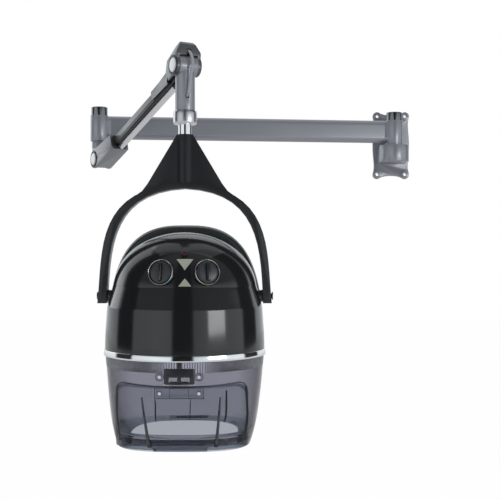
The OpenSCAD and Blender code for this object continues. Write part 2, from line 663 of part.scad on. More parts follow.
// Clear bowl: rings of points whose plan goes from round at the top to a rounded square
bowl_top = -ring_drop - ring_h;
bowl_foot = bowl_top - bowl_h;
bowl_curve = curve([[shell_r - 1, bowl_top], [shell_r - 8, bowl_top - 65],
    [bowl_foot_r + 18, bowl_top - 126], [bowl_foot_r, bowl_foot + 4]], 9);
function plan_power(z) = 2 + pow((bowl_top - z) / bowl_h, 2);
function signed_pow(v, p) = sign(v) * pow(abs(v), p);
function plan_point(a, b, z, n, angle) =
    [a * signed_pow(cos(angle), 2 / n), b * signed_pow(sin(angle), 2 / n), z];
ring_steps = 64;
function plan_ring(r) = [for (i = [0:ring_steps - 1]) plan_point(r[0], r[1], r[2], r[3], i * 360 / ring_steps)];
// Closed skin through a loop of rings, each given as half width, half depth, height and squareness
module ring_skin(rings) {
    count = len(rings);
    points = [for (r = rings) each plan_ring(r)];
    faces = [for (j = [0:count - 1], i = [0:ring_steps - 1])
        let (k = (j + 1) % count, m = (i + 1) % ring_steps)
        [j * ring_steps + i, k * ring_steps + i, k * ring_steps + m, j * ring_steps + m]];
    polyhedron(points = points, faces = [for (f = faces) each [[f[0], f[1], f[2]], [f[0], f[2], f[3]]]]);
}
shelf_z = bowl_foot + 19;
neck_rim_z = shelf_z - bowl_wall - 0.4;
function wall_ring(p, by) = [p[0] + by, p[0] + by, p[1], plan_power(p[1])];
module bowl_body() {
    outer = [for (p = bowl_curve) wall_ring(p, 0)];
    inner = [for (p = bowl_curve) if (p[1] > shelf_z + 14) wall_ring(p, -bowl_wall)];
    foot_in = bowl_foot_r - bowl_wall;
    ring_skin(concat(outer,
        [[bowl_foot_r - 2, bowl_foot_r - 2, bowl_foot, 3],
         [foot_in - 1, foot_in - 1, bowl_foot, 3],
         [foot_in + 1, foot_in + 1, shelf_z + 6, 2.9],
         [mouth_half_w, mouth_half_d, shelf_z - bowl_wall, 2.5],
         [mouth_half_w, mouth_half_d, shelf_z, 2.5],
         [foot_in + 4, foot_in + 4, shelf_z + 11, 2.8]],
        reversed(inner)));
}
window_z = bowl_top - window_top;
module window_outline(grow) {
    r = 24;
    top = window_z + grow;
    half = window_half_w + grow;
    polygon(concat([for (a = [0:15:90]) [half - r + r * cos(a), top - r + r * sin(a)]],
        [for (a = [90:15:180]) [-half + r + r * cos(a), top - r + r * sin(a)]],
        [[-half, bowl_foot - 20], [half, bowl_foot - 20]]));
}
window_foot = shelf_z + 16;
module bowl() color(smoke) at_hood() difference() {
    bowl_body();
    intersection() {
        translate([0, -shell_r / 2 - 5, 0]) upright(shell_r + 10) window_outline(0);
        translate([-shell_r, -shell_r - 10, window_foot]) cube([2 * shell_r, shell_r, bowl_h]);
    }
    hinge_holes(hinge_screw_z);
    // The rim behind the neck rises to the shelf
    translate([-shell_r, 0, 0]) rotate([90, 0, 90]) linear_extrude(2 * shell_r) polygon([[0, bowl_foot - 5], [0, bowl_foot],
        [bowl_foot_r * 0.55, bowl_foot + 9], [bowl_foot_r * 0.85, neck_rim_z], [shell_r, neck_rim_z], [shell_r, bowl_foot - 5]]);
}
visor_gap = 0.8;
visor_lap = 5;
module visor() color(smoke) at_hood() difference() {
    intersection() {
        ring_skin(concat([for (p = bowl_curve) wall_ring(p, visor_gap + bowl_wall)],
            reversed([for (p = bowl_curve) wall_ring(p, visor_gap)])));
        translate([0, -shell_r, 0]) upright(1.4 * shell_r) window_outline(visor_lap);
    }
    hinge_holes(leaf_screw_z);
}
// Hinge of the visor, which stands clear of the shells and of the visor behind its leaf
hinge_z = bowl_top - 42;
hinge_screw_x = 38.7;
hinge_screw_z = bowl_top - 28;
leaf_screw_z = bowl_top - 60;
hinge_y = -max(shell_r + 2, bowl_r_at(leaf_screw_z) + visor_gap + bowl_wall + 3);
hinge_screw_r = 2;
module hinge_holes(z) {
    for (s = [-1, 1]) translate([s * hinge_screw_x, -shell_r, z]) cross_pin(hinge_screw_r + 0.2, 60);
}
hinge_pin_r = 2;
knuckle_r = 5;
module hinge_leaf() color(satin_black) at_hood() difference() {
    union() {
        translate([-30, hinge_y - 2, hinge_z]) cube([60, 4, hinge_screw_z + 9 - hinge_z]);
        translate([-46, hinge_y + 1, hinge_screw_z - 7]) cube([92, 3, 14]);
        hinge_spacers(hinge_screw_z, 0);
        for (s = [-1, 1]) translate([s * 24, hinge_y, hinge_z]) rotate([0, 90, 0])
            cylinder(r = knuckle_r, h = 12, center = true);
        translate([-4.5, hinge_y - 2.5, hinge_z + 8]) cube([9, 5, bowl_top - hinge_z - 8]);
    }
    translate([0, hinge_y, hinge_z]) rotate([0, 90, 0]) cylinder(r = hinge_pin_r + 0.02, h = 70, center = true);
    translate([-18 - slide_gap, hinge_y - 8, hinge_z - 8]) cube([36 + 2 * slide_gap, 16, 14]);
    for (s = [-1, 1]) translate([s * hinge_screw_x, hinge_y, hinge_screw_z]) cross_pin(hinge_screw_r + 0.2, 30);
}
// Round spacers between a leaf's ends and the curved wall behind them, which lies out by as much as out_by
spacer_r = 4;
function bowl_r_at(z) = lookup(z, [for (p = bowl_curve) [p[1], p[0]]]);
function wall_y_at(x, z, r) = r * pow(1 - pow(x / r, plan_power(z)), 1 / plan_power(z));
module hinge_spacers(z, out_by) {
    wall_y = wall_y_at(hinge_screw_x - spacer_r, z + spacer_r, bowl_r_at(z + spacer_r) + out_by);
    length = -hinge_y - 1 - wall_y - slide_gap;
    for (s = [-1, 1]) translate([s * hinge_screw_x, hinge_y + 1 + length / 2, z]) cross_pin(spacer_r, length);
}
module hinge_pin() color(bright) at_hood() translate([0, hinge_y, hinge_z]) rotate([0, 90, 0])
    cylinder(r = hinge_pin_r, h = 60, center = true);
module round_screw(r, length) {
    rotate([-90, 0, 0]) cylinder(r = r, h = length);
    rotate([90, 0, 0]) difference() {
        cylinder(r1 = 2 * r, r2 = 1.5 * r, h = 2.2);
        translate([-2.5 * r, -0.4, 1.4]) cube([5 * r, 0.8, 2]);
    }
}
module hinge_screws() color(bright) at_hood()
    for (s = [-1, 1]) translate([s * hinge_screw_x, hinge_y + 1, hinge_screw_z]) round_screw(hinge_screw_r, 16);
module visor_leaf() color([0.75, 0.76, 0.8, 0.5]) at_hood() difference() {
    union() {
        translate([0, hinge_y, hinge_z]) rotate([0, 90, 0]) cylinder(r = knuckle_r, h = 36, center = true);
        translate([-18, hinge_y - 2, leaf_screw_z]) cube([36, 4, hinge_z - leaf_screw_z]);
        translate([-49, hinge_y - 1, leaf_screw_z - 11]) cube([98, 3, 22]);
        hinge_spacers(leaf_screw_z, visor_gap + bowl_wall);
    }
    translate([0, hinge_y, hinge_z]) rotate([0, 90, 0]) cylinder(r = hinge_pin_r + run_gap, h = 70, center = true);
    for (s = [-1, 1]) translate([s * hinge_screw_x, hinge_y, leaf_screw_z]) cross_pin(hinge_screw_r + 0.2, 30);
}
module visor_screws() color(bright) at_hood()
    for (s = [-1, 1]) translate([s * hinge_screw_x, hinge_y - 1, leaf_screw_z]) round_screw(hinge_screw_r, 12);

// Inside the hood
dome_in_r = shell_r - 22;
dome_in_top = 30;
inner_curve = curve([[0, dome_in_top], [dome_in_r - 62, dome_in_top], [dome_in_r - 7, -18],
    [dome_in_r, -ring_drop + 2]], 12);
dome_wall = 2;
pad_places = [45, 165, 285];
module inner_dome() color([0.7, 0.7, 0.72]) at_hood() difference() {
    union() {
        rotate_extrude($fn = 72) polygon(concat(inner_curve, [[dome_in_r, -ring_drop + dome_wall],
            [shell_r - shell_wall - slide_gap, -ring_drop + dome_wall],
            [shell_r - shell_wall - slide_gap, -ring_drop], [0, -ring_drop]]));
        for (a = pad_places) rotate([0, 0, a]) translate([deck_r - 18, 0, -20]) cylinder(r = 6, h = deck_z + 20);
    }
    rotate_extrude($fn = 72) polygon(concat([for (p = inner_curve) [max(p[0] - dome_wall, 0), p[1] - dome_wall]],
        [[dome_in_r - dome_wall, -ring_drop - 5], [0, -ring_drop - 5]]));
    for (ring = [[45, 8], [75, 12]], i = [0:ring[1] - 1]) rotate([0, 0, i * 360 / ring[1]])
        translate([ring[0], 0, -30]) cylinder(r = 4, h = 70, $fn = 24);
}
deck_z = 54;
deck_t = 3;
deck_r = knob_axis_r - 22;
fan_r = 58;
coil_r = fan_r + 2;
wire_r = 5;
board_h = 2 * wire_r + 8;
module heater_frame() color([0.85, 0.83, 0.75]) at_hood() translate([0, 0, deck_z - board_h]) difference() {
    union() {
        for (a = [0, 90]) rotate([0, 0, a]) translate([-coil_r - 20, -1.5, 0]) cube([2 * coil_r + 40, 3, board_h]);
        cylinder(r = 8, h = board_h);
    }
    translate([0, 0, board_h / 2]) rotate_extrude() translate([coil_r, 0]) circle(r = wire_r + slide_gap, $fn = 32);
}
module heater_coil() color([0.6, 0.55, 0.5]) at_hood() translate([0, 0, deck_z - board_h / 2])
    rotate_extrude() translate([coil_r, 0]) circle(r = wire_r, $fn = 32);
post_places = [30, 150, 270];
module fan_deck() color([0.7, 0.7, 0.72]) at_hood() difference() {
    union() {
        translate([0, 0, deck_z]) cylinder(r = deck_r, h = deck_t);
        for (a = post_places) rotate([0, 0, a]) {
            translate([fan_r + 12, 0, deck_z]) cylinder(r = 5, h = motor_z - deck_z);
            translate([motor_r - 4, -6, motor_z - 4]) cube([fan_r + 12 - motor_r + 4, 12, 4]);
        }
    }
    translate([0, 0, deck_z - 1]) cylinder(r = 30, h = deck_t + 2);
}
motor_z = deck_z + 30;
motor_r = 34;
motor_h = 36;
module fan_motor() color([0.45, 0.45, 0.48]) at_hood() difference() {
    translate([0, 0, motor_z]) cylinder(r = motor_r, h = motor_h);
    translate([0, 0, motor_z - 1]) cylinder(r = shaft_r + run_gap, h = 20);
}
module fan_wheel() color([0.85, 0.85, 0.85]) at_hood() {
    wheel_z = deck_z + deck_t + 3;
    translate([0, 0, wheel_z]) cylinder(r = fan_r, h = 2);
    translate([0, 0, wheel_z]) cylinder(r = 10, h = 14);
    translate([0, 0, wheel_z]) cylinder(r = shaft_r, h = motor_z + 16 - wheel_z);
    for (i = [0:9]) rotate([0, 0, i * 36]) translate([20, -1, wheel_z]) cube([fan_r - 21, 2, 16]);
}
// Controls
body_gap = 0.3;
module timer() color([0.75, 0.7, 0.6]) at_hood() at_control(timer_azimuth) difference() {
    translate([0, 0, seat_h - 2 - body_gap - 30]) cylinder(r = bezel_r - 5, h = 30);
    translate([0, 0, -14]) cylinder(r = shaft_r + run_gap, h = 60);
}
module heat_switch() color([0.2, 0.2, 0.22]) at_hood() at_control(heat_azimuth) difference() {
    translate([0, 0, seat_h - 2 - body_gap - 24]) cylinder(r = bezel_r - 8, h = 24);
    translate([0, 0, -10]) cylinder(r = shaft_r + run_gap, h = 60);
}
module knob_bezels() color(bright) at_hood() for (a = [timer_azimuth, heat_azimuth]) at_control(a) {
    translate([0, 0, seat_h]) rotate_extrude() polygon([[knob_r + 1, 0], [bezel_r, 0],
        [bezel_r, bezel_h - 1.5], [bezel_r - 1.5, bezel_h], [knob_r + 1, bezel_h]]);
}
bezel_h = 4;
knob_h = 16;
module knob() {
    translate([0, 0, seat_h + body_gap]) {
        cylinder(r = knob_r, h = 4);
        translate([0, 0, 4 - eps]) cylinder(r1 = knob_r, r2 = knob_r - 2, h = 2);
        translate([-4, -knob_r + 2, 5]) cube([8, 2 * knob_r - 4, knob_h - 5]);
    }
    translate([0, 0, -8]) cylinder(r = shaft_r, h = seat_h + 10);
}
module timer_knob() color(gloss_black) at_hood() at_control(timer_azimuth) knob();
module heat_knob() color(gloss_black) at_hood() at_control(heat_azimuth) knob();
module indicator_lens() color([0.8, 0.1, 0.1]) at_hood() at_lamp() {
    translate([0, 0, -8]) cylinder(r = 3.9, h = 12);
    translate([0, 0, 4]) cylinder(r1 = 5.2, r2 = 3.5, h = 2.5);
}
module thermal_cutout() color([0.9, 0.9, 0.9]) at_hood() translate([deck_r - 23, 0, deck_z + deck_t])
    cylinder(r = 8, h = 7);
module terminal_block() color([0.92, 0.92, 0.88]) at_hood()
    translate([-18, deck_r - 36, deck_z + deck_t]) cube([36, 16, 14]);

wall_plate();
wall_spindle();
arm_tube();
wall_barrel();
elbow_barrel();
arm_caps();
arm_bushes();
knuckle();
elbow_spindle();
level_pin_lower();
base_casting();
lift_rail();
head_casting();
lift_pins();
pivot_caps();
pivot_rings();
arm_seal();
bright_tube();
tube_plug();
balance_strut();
level_rod();
head_post();
post_collar();
post_bush();
power_lead();
level_pin_upper();
yoke_stem();
yoke();
tilt_bolts();
rear_shell();
front_shell();
trim_ring();
bowl();
inner_dome();
heater_frame();
heater_coil();
fan_deck();
fan_motor();
timer();
heat_switch();
knob_bezels();
indicator_lens();
thermal_cutout();
terminal_block();
hinge_leaf();
hinge_pin();
hinge_screws();
visor();
visor_leaf();
visor_screws();
timer_knob();
heat_knob();
fan_wheel();
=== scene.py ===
import json
import math
import bpy
from mathutils import Matrix, Vector

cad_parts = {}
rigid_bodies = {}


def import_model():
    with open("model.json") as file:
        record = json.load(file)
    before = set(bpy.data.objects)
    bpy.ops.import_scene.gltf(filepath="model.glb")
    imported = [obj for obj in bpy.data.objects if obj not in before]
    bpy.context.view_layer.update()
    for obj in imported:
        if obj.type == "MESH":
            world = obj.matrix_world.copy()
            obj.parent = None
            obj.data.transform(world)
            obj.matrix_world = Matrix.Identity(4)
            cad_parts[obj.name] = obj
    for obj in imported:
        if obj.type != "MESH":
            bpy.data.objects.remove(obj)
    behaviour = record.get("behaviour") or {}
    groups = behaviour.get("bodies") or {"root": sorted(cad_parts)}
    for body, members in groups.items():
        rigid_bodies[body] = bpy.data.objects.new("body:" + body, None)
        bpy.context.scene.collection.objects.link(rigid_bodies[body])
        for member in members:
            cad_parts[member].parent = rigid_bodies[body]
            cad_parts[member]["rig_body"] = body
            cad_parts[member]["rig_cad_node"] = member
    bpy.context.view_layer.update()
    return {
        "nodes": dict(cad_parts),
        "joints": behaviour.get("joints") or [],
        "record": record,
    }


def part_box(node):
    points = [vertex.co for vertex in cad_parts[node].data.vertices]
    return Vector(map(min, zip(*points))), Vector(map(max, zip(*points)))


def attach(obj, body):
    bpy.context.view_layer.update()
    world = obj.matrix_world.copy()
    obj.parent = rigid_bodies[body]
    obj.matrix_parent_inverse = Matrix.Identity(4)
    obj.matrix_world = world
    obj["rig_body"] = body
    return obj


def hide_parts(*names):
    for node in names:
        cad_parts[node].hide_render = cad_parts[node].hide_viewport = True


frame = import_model()
print("frame loaded")

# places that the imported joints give
jointOf = {joint["name"]: joint for joint in frame["joints"]}
def jointPlace(name):
    return Vector(jointOf[name]["pos_m"])

def framed(origin, xAxis, zAxis):
    xAxis = xAxis.normalized()
    yAxis = zAxis.cross(xAxis).normalized()
    place = Matrix((xAxis, yAxis, xAxis.cross(yAxis))).transposed().to_4x4()
    place.translation = origin
    return place

up = Vector((0, 0, 1))
liftPivot = jointPlace("lift")
liftLine = (jointPlace("head_level") - liftPivot).normalized()
liftPlace = framed(liftPivot, liftLine, liftLine.cross(up.cross(liftLine)))
hoodPivot = jointPlace("hood_tilt")
hoodPlace = Matrix.Translation(hoodPivot)
hingePin = jointPlace("visor_flip")
bowlTop = hoodPivot.z - 0.1227  # underside of the trim ring


# camera at the photograph's viewing angle
cameraSet = {"place": (-0.388, -2.659, -0.2875), "turn": 90, "lens": 69.264, "sensor": 36, "reach": 60}
def makeCamera():
    turn = (math.radians(cameraSet["turn"]), 0, 0)
    bpy.ops.object.camera_add(location=cameraSet["place"], rotation=turn)
    camera = bpy.context.object
    camera.name = "photoCamera"
    camera.data.lens = cameraSet["lens"]
    camera.data.sensor_width = cameraSet["sensor"]
    camera.data.clip_end = cameraSet["reach"]
    bpy.context.scene.camera = camera
makeCamera()
print("camera placed")


# small helpers for the shader nodes
def setInputs(node, values):
    for label, value in values.items():
        node.inputs[label].default_value = value

def mathNode(nodes, links, operation, a, b=None, clamp=False):
    node = nodes.new("ShaderNodeMath")
    node.operation = operation
    node.use_clamp = clamp
    for socket, value in zip(node.inputs, (a, b)):
        if value is None:
            continue
        if isinstance(value, (int, float)):
            socket.default_value = value
        else:
            links.new(value, socket)
    return node.outputs[0]

def scaledColor(nodes, links, color, amount):
    node = nodes.new("ShaderNodeVectorMath")
    node.operation = "SCALE"
    links.new(color, node.inputs[0])
    links.new(amount, node.inputs["Scale"])
    return node.outputs[0]

def noiseNode(nodes, links, coord, values):
    noise = nodes.new("ShaderNodeTexNoise")
    setInputs(noise, values)
    links.new(coord.outputs["Object"], noise.inputs["Vector"])
    return noise

def rampNode(nodes, links, amount, stops):
    ramp = nodes.new("ShaderNodeValToRGB")
    while len(ramp.color_ramp.elements) < len(stops):
        ramp.color_ramp.elements.new(0.5)
    for element, (place, color) in zip(ramp.color_ramp.elements, stops):
        element.position = place
        element.color = (*color, 1)
    links.new(amount, ramp.inputs["Fac"])
    return ramp.outputs["Color"]

def mixShaders(nodes, links, amount, first, second):
    mix = nodes.new("ShaderNodeMixShader")
    links.new(amount, mix.inputs["Fac"])
    links.new(first, mix.inputs[1])
    links.new(second, mix.inputs[2])
    return mix.outputs[0]

def addBump(nodes, links, shader, height, strength, distance):
    bump = nodes.new("ShaderNodeBump")
    setInputs(bump, {"Strength": strength, "Distance": distance})
    links.new(height, bump.inputs["Height"])
    links.new(bump.outputs["Normal"], shader.inputs["Normal"])

def addGroup(nodes, tree, values):
    node = nodes.new("ShaderNodeGroup")
    node.node_tree = tree
    setInputs(node, values)
    return node


# shader groups shared by the materials
def newGroup(name, ins, outs):
    group = bpy.data.node_groups.new(name, "ShaderNodeTree")
    for label, kind, value in ins:
        socket = group.interface.new_socket(name=label, in_out="INPUT", socket_type=kind)
        socket.default_value = value
    for label, kind in outs:
        group.interface.new_socket(name=label, in_out="OUTPUT", socket_type=kind)
    nodes = group.nodes
    return group, nodes, group.links, nodes.new("NodeGroupInput"), nodes.new("NodeGroupOutput")

# powder coat or moulded skin: a fine orange peel, slow shade drift and a roughness drift
grainSet = {"fineDetail": 3, "slowScale": 14, "slowDetail": 4, "middle": 0.5}
def grainGroup():
    group, nodes, links, gin, gout = newGroup("surfaceGrain", [
        ("Color", "NodeSocketColor", (0.5, 0.5, 0.5, 1)), ("Drift", "NodeSocketFloat", 0.06),
        ("Grain Scale", "NodeSocketFloat", 900.0), ("Rough", "NodeSocketFloat", 0.4),
        ("Rough Drift", "NodeSocketFloat", 0.08)],
        [("Color", "NodeSocketColor"), ("Roughness", "NodeSocketFloat"), ("Height", "NodeSocketFloat")])
    middle = grainSet["middle"]
    coord = nodes.new("ShaderNodeTexCoord")
    fine = noiseNode(nodes, links, coord, {"Detail": grainSet["fineDetail"]})
    links.new(gin.outputs["Grain Scale"], fine.inputs["Scale"])
    slow = noiseNode(nodes, links, coord, {"Scale": grainSet["slowScale"], "Detail": grainSet["slowDetail"]})
    shift = mathNode(nodes, links, "SUBTRACT", slow.outputs[0], middle)
    amount = mathNode(nodes, links, "MULTIPLY", shift, gin.outputs["Drift"])
    speck = mathNode(nodes, links, "SUBTRACT", fine.outputs[0], middle)
    speckAmount = mathNode(nodes, links, "MULTIPLY", speck, gin.outputs["Drift"])
    total = mathNode(nodes, links, "ADD", mathNode(nodes, links, "ADD", amount, speckAmount), 1.0)
    links.new(scaledColor(nodes, links, gin.outputs["Color"], total), gout.inputs["Color"])
    roughShift = mathNode(nodes, links, "MULTIPLY", shift, gin.outputs["Rough Drift"])
    rough = mathNode(nodes, links, "ADD", roughShift, gin.outputs["Rough"], clamp=True)
    links.new(rough, gout.inputs["Roughness"])
    links.new(fine.outputs[0], gout.inputs["Height"])
    return group

# upright flutes round an axis, between two heights
def fluteGroup():
    group, nodes, links, gin, gout = newGroup("uprightFlutes", [
        ("Centre X", "NodeSocketFloat", 0.0), ("Centre Y", "NodeSocketFloat", 0.0),
        ("Count", "NodeSocketFloat", 240.0), ("Low", "NodeSocketFloat", 0.0),
        ("High", "NodeSocketFloat", 1.0)],
        [("Height", "NodeSocketFloat")])
    coord = nodes.new("ShaderNodeTexCoord")
    split = nodes.new("ShaderNodeSeparateXYZ")
    links.new(coord.outputs["Object"], split.inputs[0])
    dx = mathNode(nodes, links, "SUBTRACT", split.outputs["X"], gin.outputs["Centre X"])
    dy = mathNode(nodes, links, "SUBTRACT", split.outputs["Y"], gin.outputs["Centre Y"])
    turn = mathNode(nodes, links, "ARCTAN2", dy, dx)
    wave = mathNode(nodes, links, "SINE", mathNode(nodes, links, "MULTIPLY", turn, gin.outputs["Count"]))
    above = mathNode(nodes, links, "GREATER_THAN", split.outputs["Z"], gin.outputs["Low"])
    below = mathNode(nodes, links, "LESS_THAN", split.outputs["Z"], gin.outputs["High"])
    mask = mathNode(nodes, links, "MULTIPLY", above, below)
    links.new(mathNode(nodes, links, "MULTIPLY", wave, mask), gout.inputs["Height"])
    return group

surfaceGrain = grainGroup()
uprightFlutes = fluteGroup()
print("shader groups built")


# opaque finishes
def paint(color, rough, grain, bump, drift=0.10, metal=0.0, coat=0.0):
    return {"color": color, "rough": rough, "grain": grain, "bump": bump, "drift": drift,
            "metal": metal, "coat": coat}

finishes = {
    "greyPaint": paint((0.300, 0.310, 0.345), 0.32, 1600, 0.05, metal=0.40, coat=0.25),
    "castPaint": paint((0.192, 0.199, 0.222), 0.32, 1600, 0.05, metal=0.40, coat=0.20),
    "railPaint": paint((0.112, 0.119, 0.124), 0.32, 1600, 0.05, metal=0.40, coat=0.20),
    "yokeBlack": paint((0.017, 0.019, 0.022), 0.32, 1200, 0.06, drift=0.12),
    "shellBlack": paint((0.012, 0.013, 0.014), 0.12, 260, 0.006, coat=0.3),
    "shellSatin": paint((0.028, 0.032, 0.031), 0.24, 260, 0.006, coat=0.2),
    "brightChrome": paint((0.84, 0.85, 0.87), 0.07, 300, 0.004, drift=0.03, metal=1.0),
    "satinChrome": paint((0.60, 0.61, 0.63), 0.30, 300, 0.006, drift=0.05, metal=1.0),
    "darkChrome": paint((0.20, 0.205, 0.21), 0.20, 300, 0.004, drift=0.05, metal=1.0),
    "satinTube": paint((0.72, 0.72, 0.75), 0.30, 1500, 0.02, drift=0.05, metal=0.75),
    "bearingPlastic": paint((0.02, 0.02, 0.022), 0.45, 1500, 0.05),
    "blackRod": paint((0.012, 0.012, 0.013), 0.30, 900, 0.03, coat=0.1),
    "whitePlastic": paint((0.80, 0.81, 0.82), 0.25, 900, 0.02, drift=0.03, coat=0.2),
    "knobBlack": paint((0.008, 0.009, 0.010), 0.25, 900, 0.02, coat=0.1),
    "dialGrey": paint((0.045, 0.05, 0.055), 0.30, 900, 0.02, metal=0.3),
    "markBeige": paint((0.36, 0.36, 0.29), 0.45, 1200, 0.02, drift=0.06),
    "smokeEdge": paint((0.050, 0.055, 0.070), 0.22, 700, 0.02, drift=0.12, coat=0.1),
    "smokeLine": paint((0.115, 0.120, 0.150), 0.30, 700, 0.02, drift=0.12),
    "lampRed": paint((0.060, 0.008, 0.012), 0.15, 900, 0.01, drift=0.05, coat=0.3),
    "hingeBlack": paint((0.022, 0.023, 0.027), 0.28, 900, 0.03, coat=0.1),
    "sheetMetal": paint((0.55, 0.55, 0.57), 0.38, 700, 0.03, drift=0.08, metal=0.8),
    "micaBoard": paint((0.55, 0.49, 0.36), 0.6, 300, 0.08, drift=0.25),
    "heatingWire": paint((0.30, 0.25, 0.22), 0.4, 700, 0.05, drift=0.20, metal=1.0),
    "fanPlastic": paint((0.55, 0.55, 0.55), 0.5, 700, 0.04, drift=0.06),
    "leadGrey": paint((0.34, 0.35, 0.38), 0.38, 700, 0.03, drift=0.06),
}
paintSet = {"coatRough": 0.08, "bumpDeep": 0.001}

def newMaterial(name):
    material = bpy.data.materials.new(name)
    material.use_nodes = True
    nodes = material.node_tree.nodes
    return material, nodes, material.node_tree.links, nodes["Principled BSDF"]

def paintMaterial(name):
    look = finishes[name]
    material, nodes, links, shader = newMaterial(name)
    setInputs(shader, {"Metallic": look["metal"], "Coat Weight": look["coat"],
                       "Coat Roughness": paintSet["coatRough"]})
    grain = addGroup(nodes, surfaceGrain, {
        "Color": (*look["color"], 1), "Drift": look["drift"], "Grain Scale": look["grain"],
        "Rough": look["rough"]})
    links.new(grain.outputs["Color"], shader.inputs["Base Color"])
    links.new(grain.outputs["Roughness"], shader.inputs["Roughness"])
    addBump(nodes, links, shader, grain.outputs["Height"], look["bump"], paintSet["bumpDeep"])
    return material

# smoked plastics: a clear tone face on that turns to the edge tone where the wall leans away
smokes = {
    "visorSmoke": {"color": (0.355, 0.375, 0.420), "edge": (0.09, 0.10, 0.12), "rough": 0.03,
                   "ior": 1.25, "flutes": 0.0},
    "bowlSmoke": {"color": (0.46, 0.465, 0.515), "edge": (0.07, 0.075, 0.095), "rough": 0.04,
                  "ior": 1.3, "flutes": 1.3},
    "clearLeaf": {"color": (0.70, 0.72, 0.76), "edge": (0.30, 0.31, 0.35), "rough": 0.05,
                  "ior": 1.3, "flutes": 0.0},
}
smokeSet = {"blend": 0.5, "faceUntil": 0.28, "edgeFrom": 0.74, "grain": 60, "roughDrift": 0.02,
            "bump": 0.01, "bumpDeep": 0.0006}
# shade: strength of the painted shade on the flutes
fluteSet = {"count": 205, "high": 0.1235, "low": 0.1445, "shade": 0.5}  # heights below the tilt axis

def smokeMaterial(name):
    look = smokes[name]
    material, nodes, links, shader = newMaterial(name)
    facing = nodes.new("ShaderNodeLayerWeight")
    facing.inputs["Blend"].default_value = smokeSet["blend"]
    tone = rampNode(nodes, links, facing.outputs["Facing"], (
        (0.0, look["color"]), (smokeSet["faceUntil"], look["color"]), (smokeSet["edgeFrom"], look["edge"])))
    setInputs(shader, {"Metallic": 0, "Transmission Weight": 1, "IOR": look["ior"]})
    grain = addGroup(nodes, surfaceGrain, {
        "Grain Scale": smokeSet["grain"], "Rough": look["rough"], "Rough Drift": smokeSet["roughDrift"]})
    links.new(grain.outputs["Roughness"], shader.inputs["Roughness"])
    if look["flutes"]:
        ribs = addGroup(nodes, uprightFlutes, {
            "Centre X": hoodPivot.x, "Centre Y": hoodPivot.y, "Count": fluteSet["count"],
            "Low": hoodPivot.z - fluteSet["low"], "High": hoodPivot.z - fluteSet["high"]})
        # the flute ridges are painted lighter and their hollows darker: painted shade on the flutes, on top
        # of their bump
        contrast = look["flutes"] * fluteSet["shade"]
        shade = mathNode(nodes, links, "MULTIPLY_ADD", ribs.outputs["Height"], contrast)
        shade.node.inputs[2].default_value = 1.0
        links.new(scaledColor(nodes, links, tone, shade), shader.inputs["Base Color"])
        addBump(nodes, links, shader, ribs.outputs["Height"], look["flutes"], smokeSet["bumpDeep"])
    else:
        links.new(tone, shader.inputs["Base Color"])
        addBump(nodes, links, shader, grain.outputs["Height"], smokeSet["bump"], smokeSet["bumpDeep"])
    return material

# the knobs' bright rings get painted reflections: a noise picks several tints for their metal colour,
# standing in for the dials they mirror
ringReflectionTints = {"scale": 42, "detail": 1, "rough": 0.24, "colors": (
    (0.30, (0.52, 0.28, 0.46)), (0.42, (0.66, 0.64, 0.64)), (0.50, (0.66, 0.65, 0.40)),
    (0.58, (0.58, 0.61, 0.64)), (0.68, (0.28, 0.46, 0.55)), (0.78, (0.30, 0.50, 0.38)))}
def paintedReflectionRing():
    material, nodes, links, shader = newMaterial("paintedReflectionRing")
    setInputs(shader, {"Metallic": 1, "Roughness": ringReflectionTints["rough"]})
    noise = noiseNode(nodes, links, nodes.new("ShaderNodeTexCoord"),
                      {"Scale": ringReflectionTints["scale"], "Detail": ringReflectionTints["detail"]})
    tone = rampNode(nodes, links, noise.outputs[0], ringReflectionTints["colors"])
    links.new(tone, shader.inputs["Base Color"])
    return material

materialOf = {name: paintMaterial(name) for name in finishes}
materialOf["paintedReflectionRing"] = paintedReflectionRing()
materialOf.update({name: smokeMaterial(name) for name in smokes})
print("materials built:", len(materialOf))


# helpers for the pieces
nearAxis = 0.0001  # radius at which a spun outline starts
seamMerge = 0.000004  # gap that is closed after a spin
quarterTurn = math.pi / 2

def clearSelection():
    if bpy.context.object and bpy.context.object.mode != "OBJECT":
        bpy.ops.object.mode_set(mode="OBJECT")
    bpy.ops.object.select_all(action="DESELECT")

def pick(piece):
    clearSelection()
    piece.hide_set(False)
    piece.select_set(True)
    bpy.context.view_layer.objects.active = piece

def editAll():
    bpy.ops.object.mode_set(mode="EDIT")
    bpy.ops.mesh.select_all(action="SELECT")

def setMaterial(piece, name):
    piece.data.materials.clear()
    piece.data.materials.append(materialOf[name])

def applyModifier(piece, kind, **settings):
    pick(piece)
    bpy.ops.object.modifier_add(type=kind)
    modifier = piece.modifiers[-1]
    for key, value in settings.items():
        setattr(modifier, key, value)
    bpy.ops.object.modifier_apply(modifier=modifier.name)

def applyPlace(piece):
    pick(piece)
    bpy.ops.object.transform_apply(location=True, rotation=True, scale=True)

def smoothByAngle(piece, degrees=35):
    pick(piece)
    bpy.ops.object.shade_smooth_by_angle(angle=math.radians(degrees))

# puts a piece that was made in a local frame into the object's frame
def placePiece(piece, place):
    piece.matrix_world = place @ piece.matrix_world
    applyPlace(piece)

def finishPiece(piece, body, material, nodes=(), smooth=35):
    applyPlace(piece)
    setMaterial(piece, material)
    smoothByAngle(piece, smooth)
    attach(piece, body)
    if nodes:
        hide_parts(*nodes)

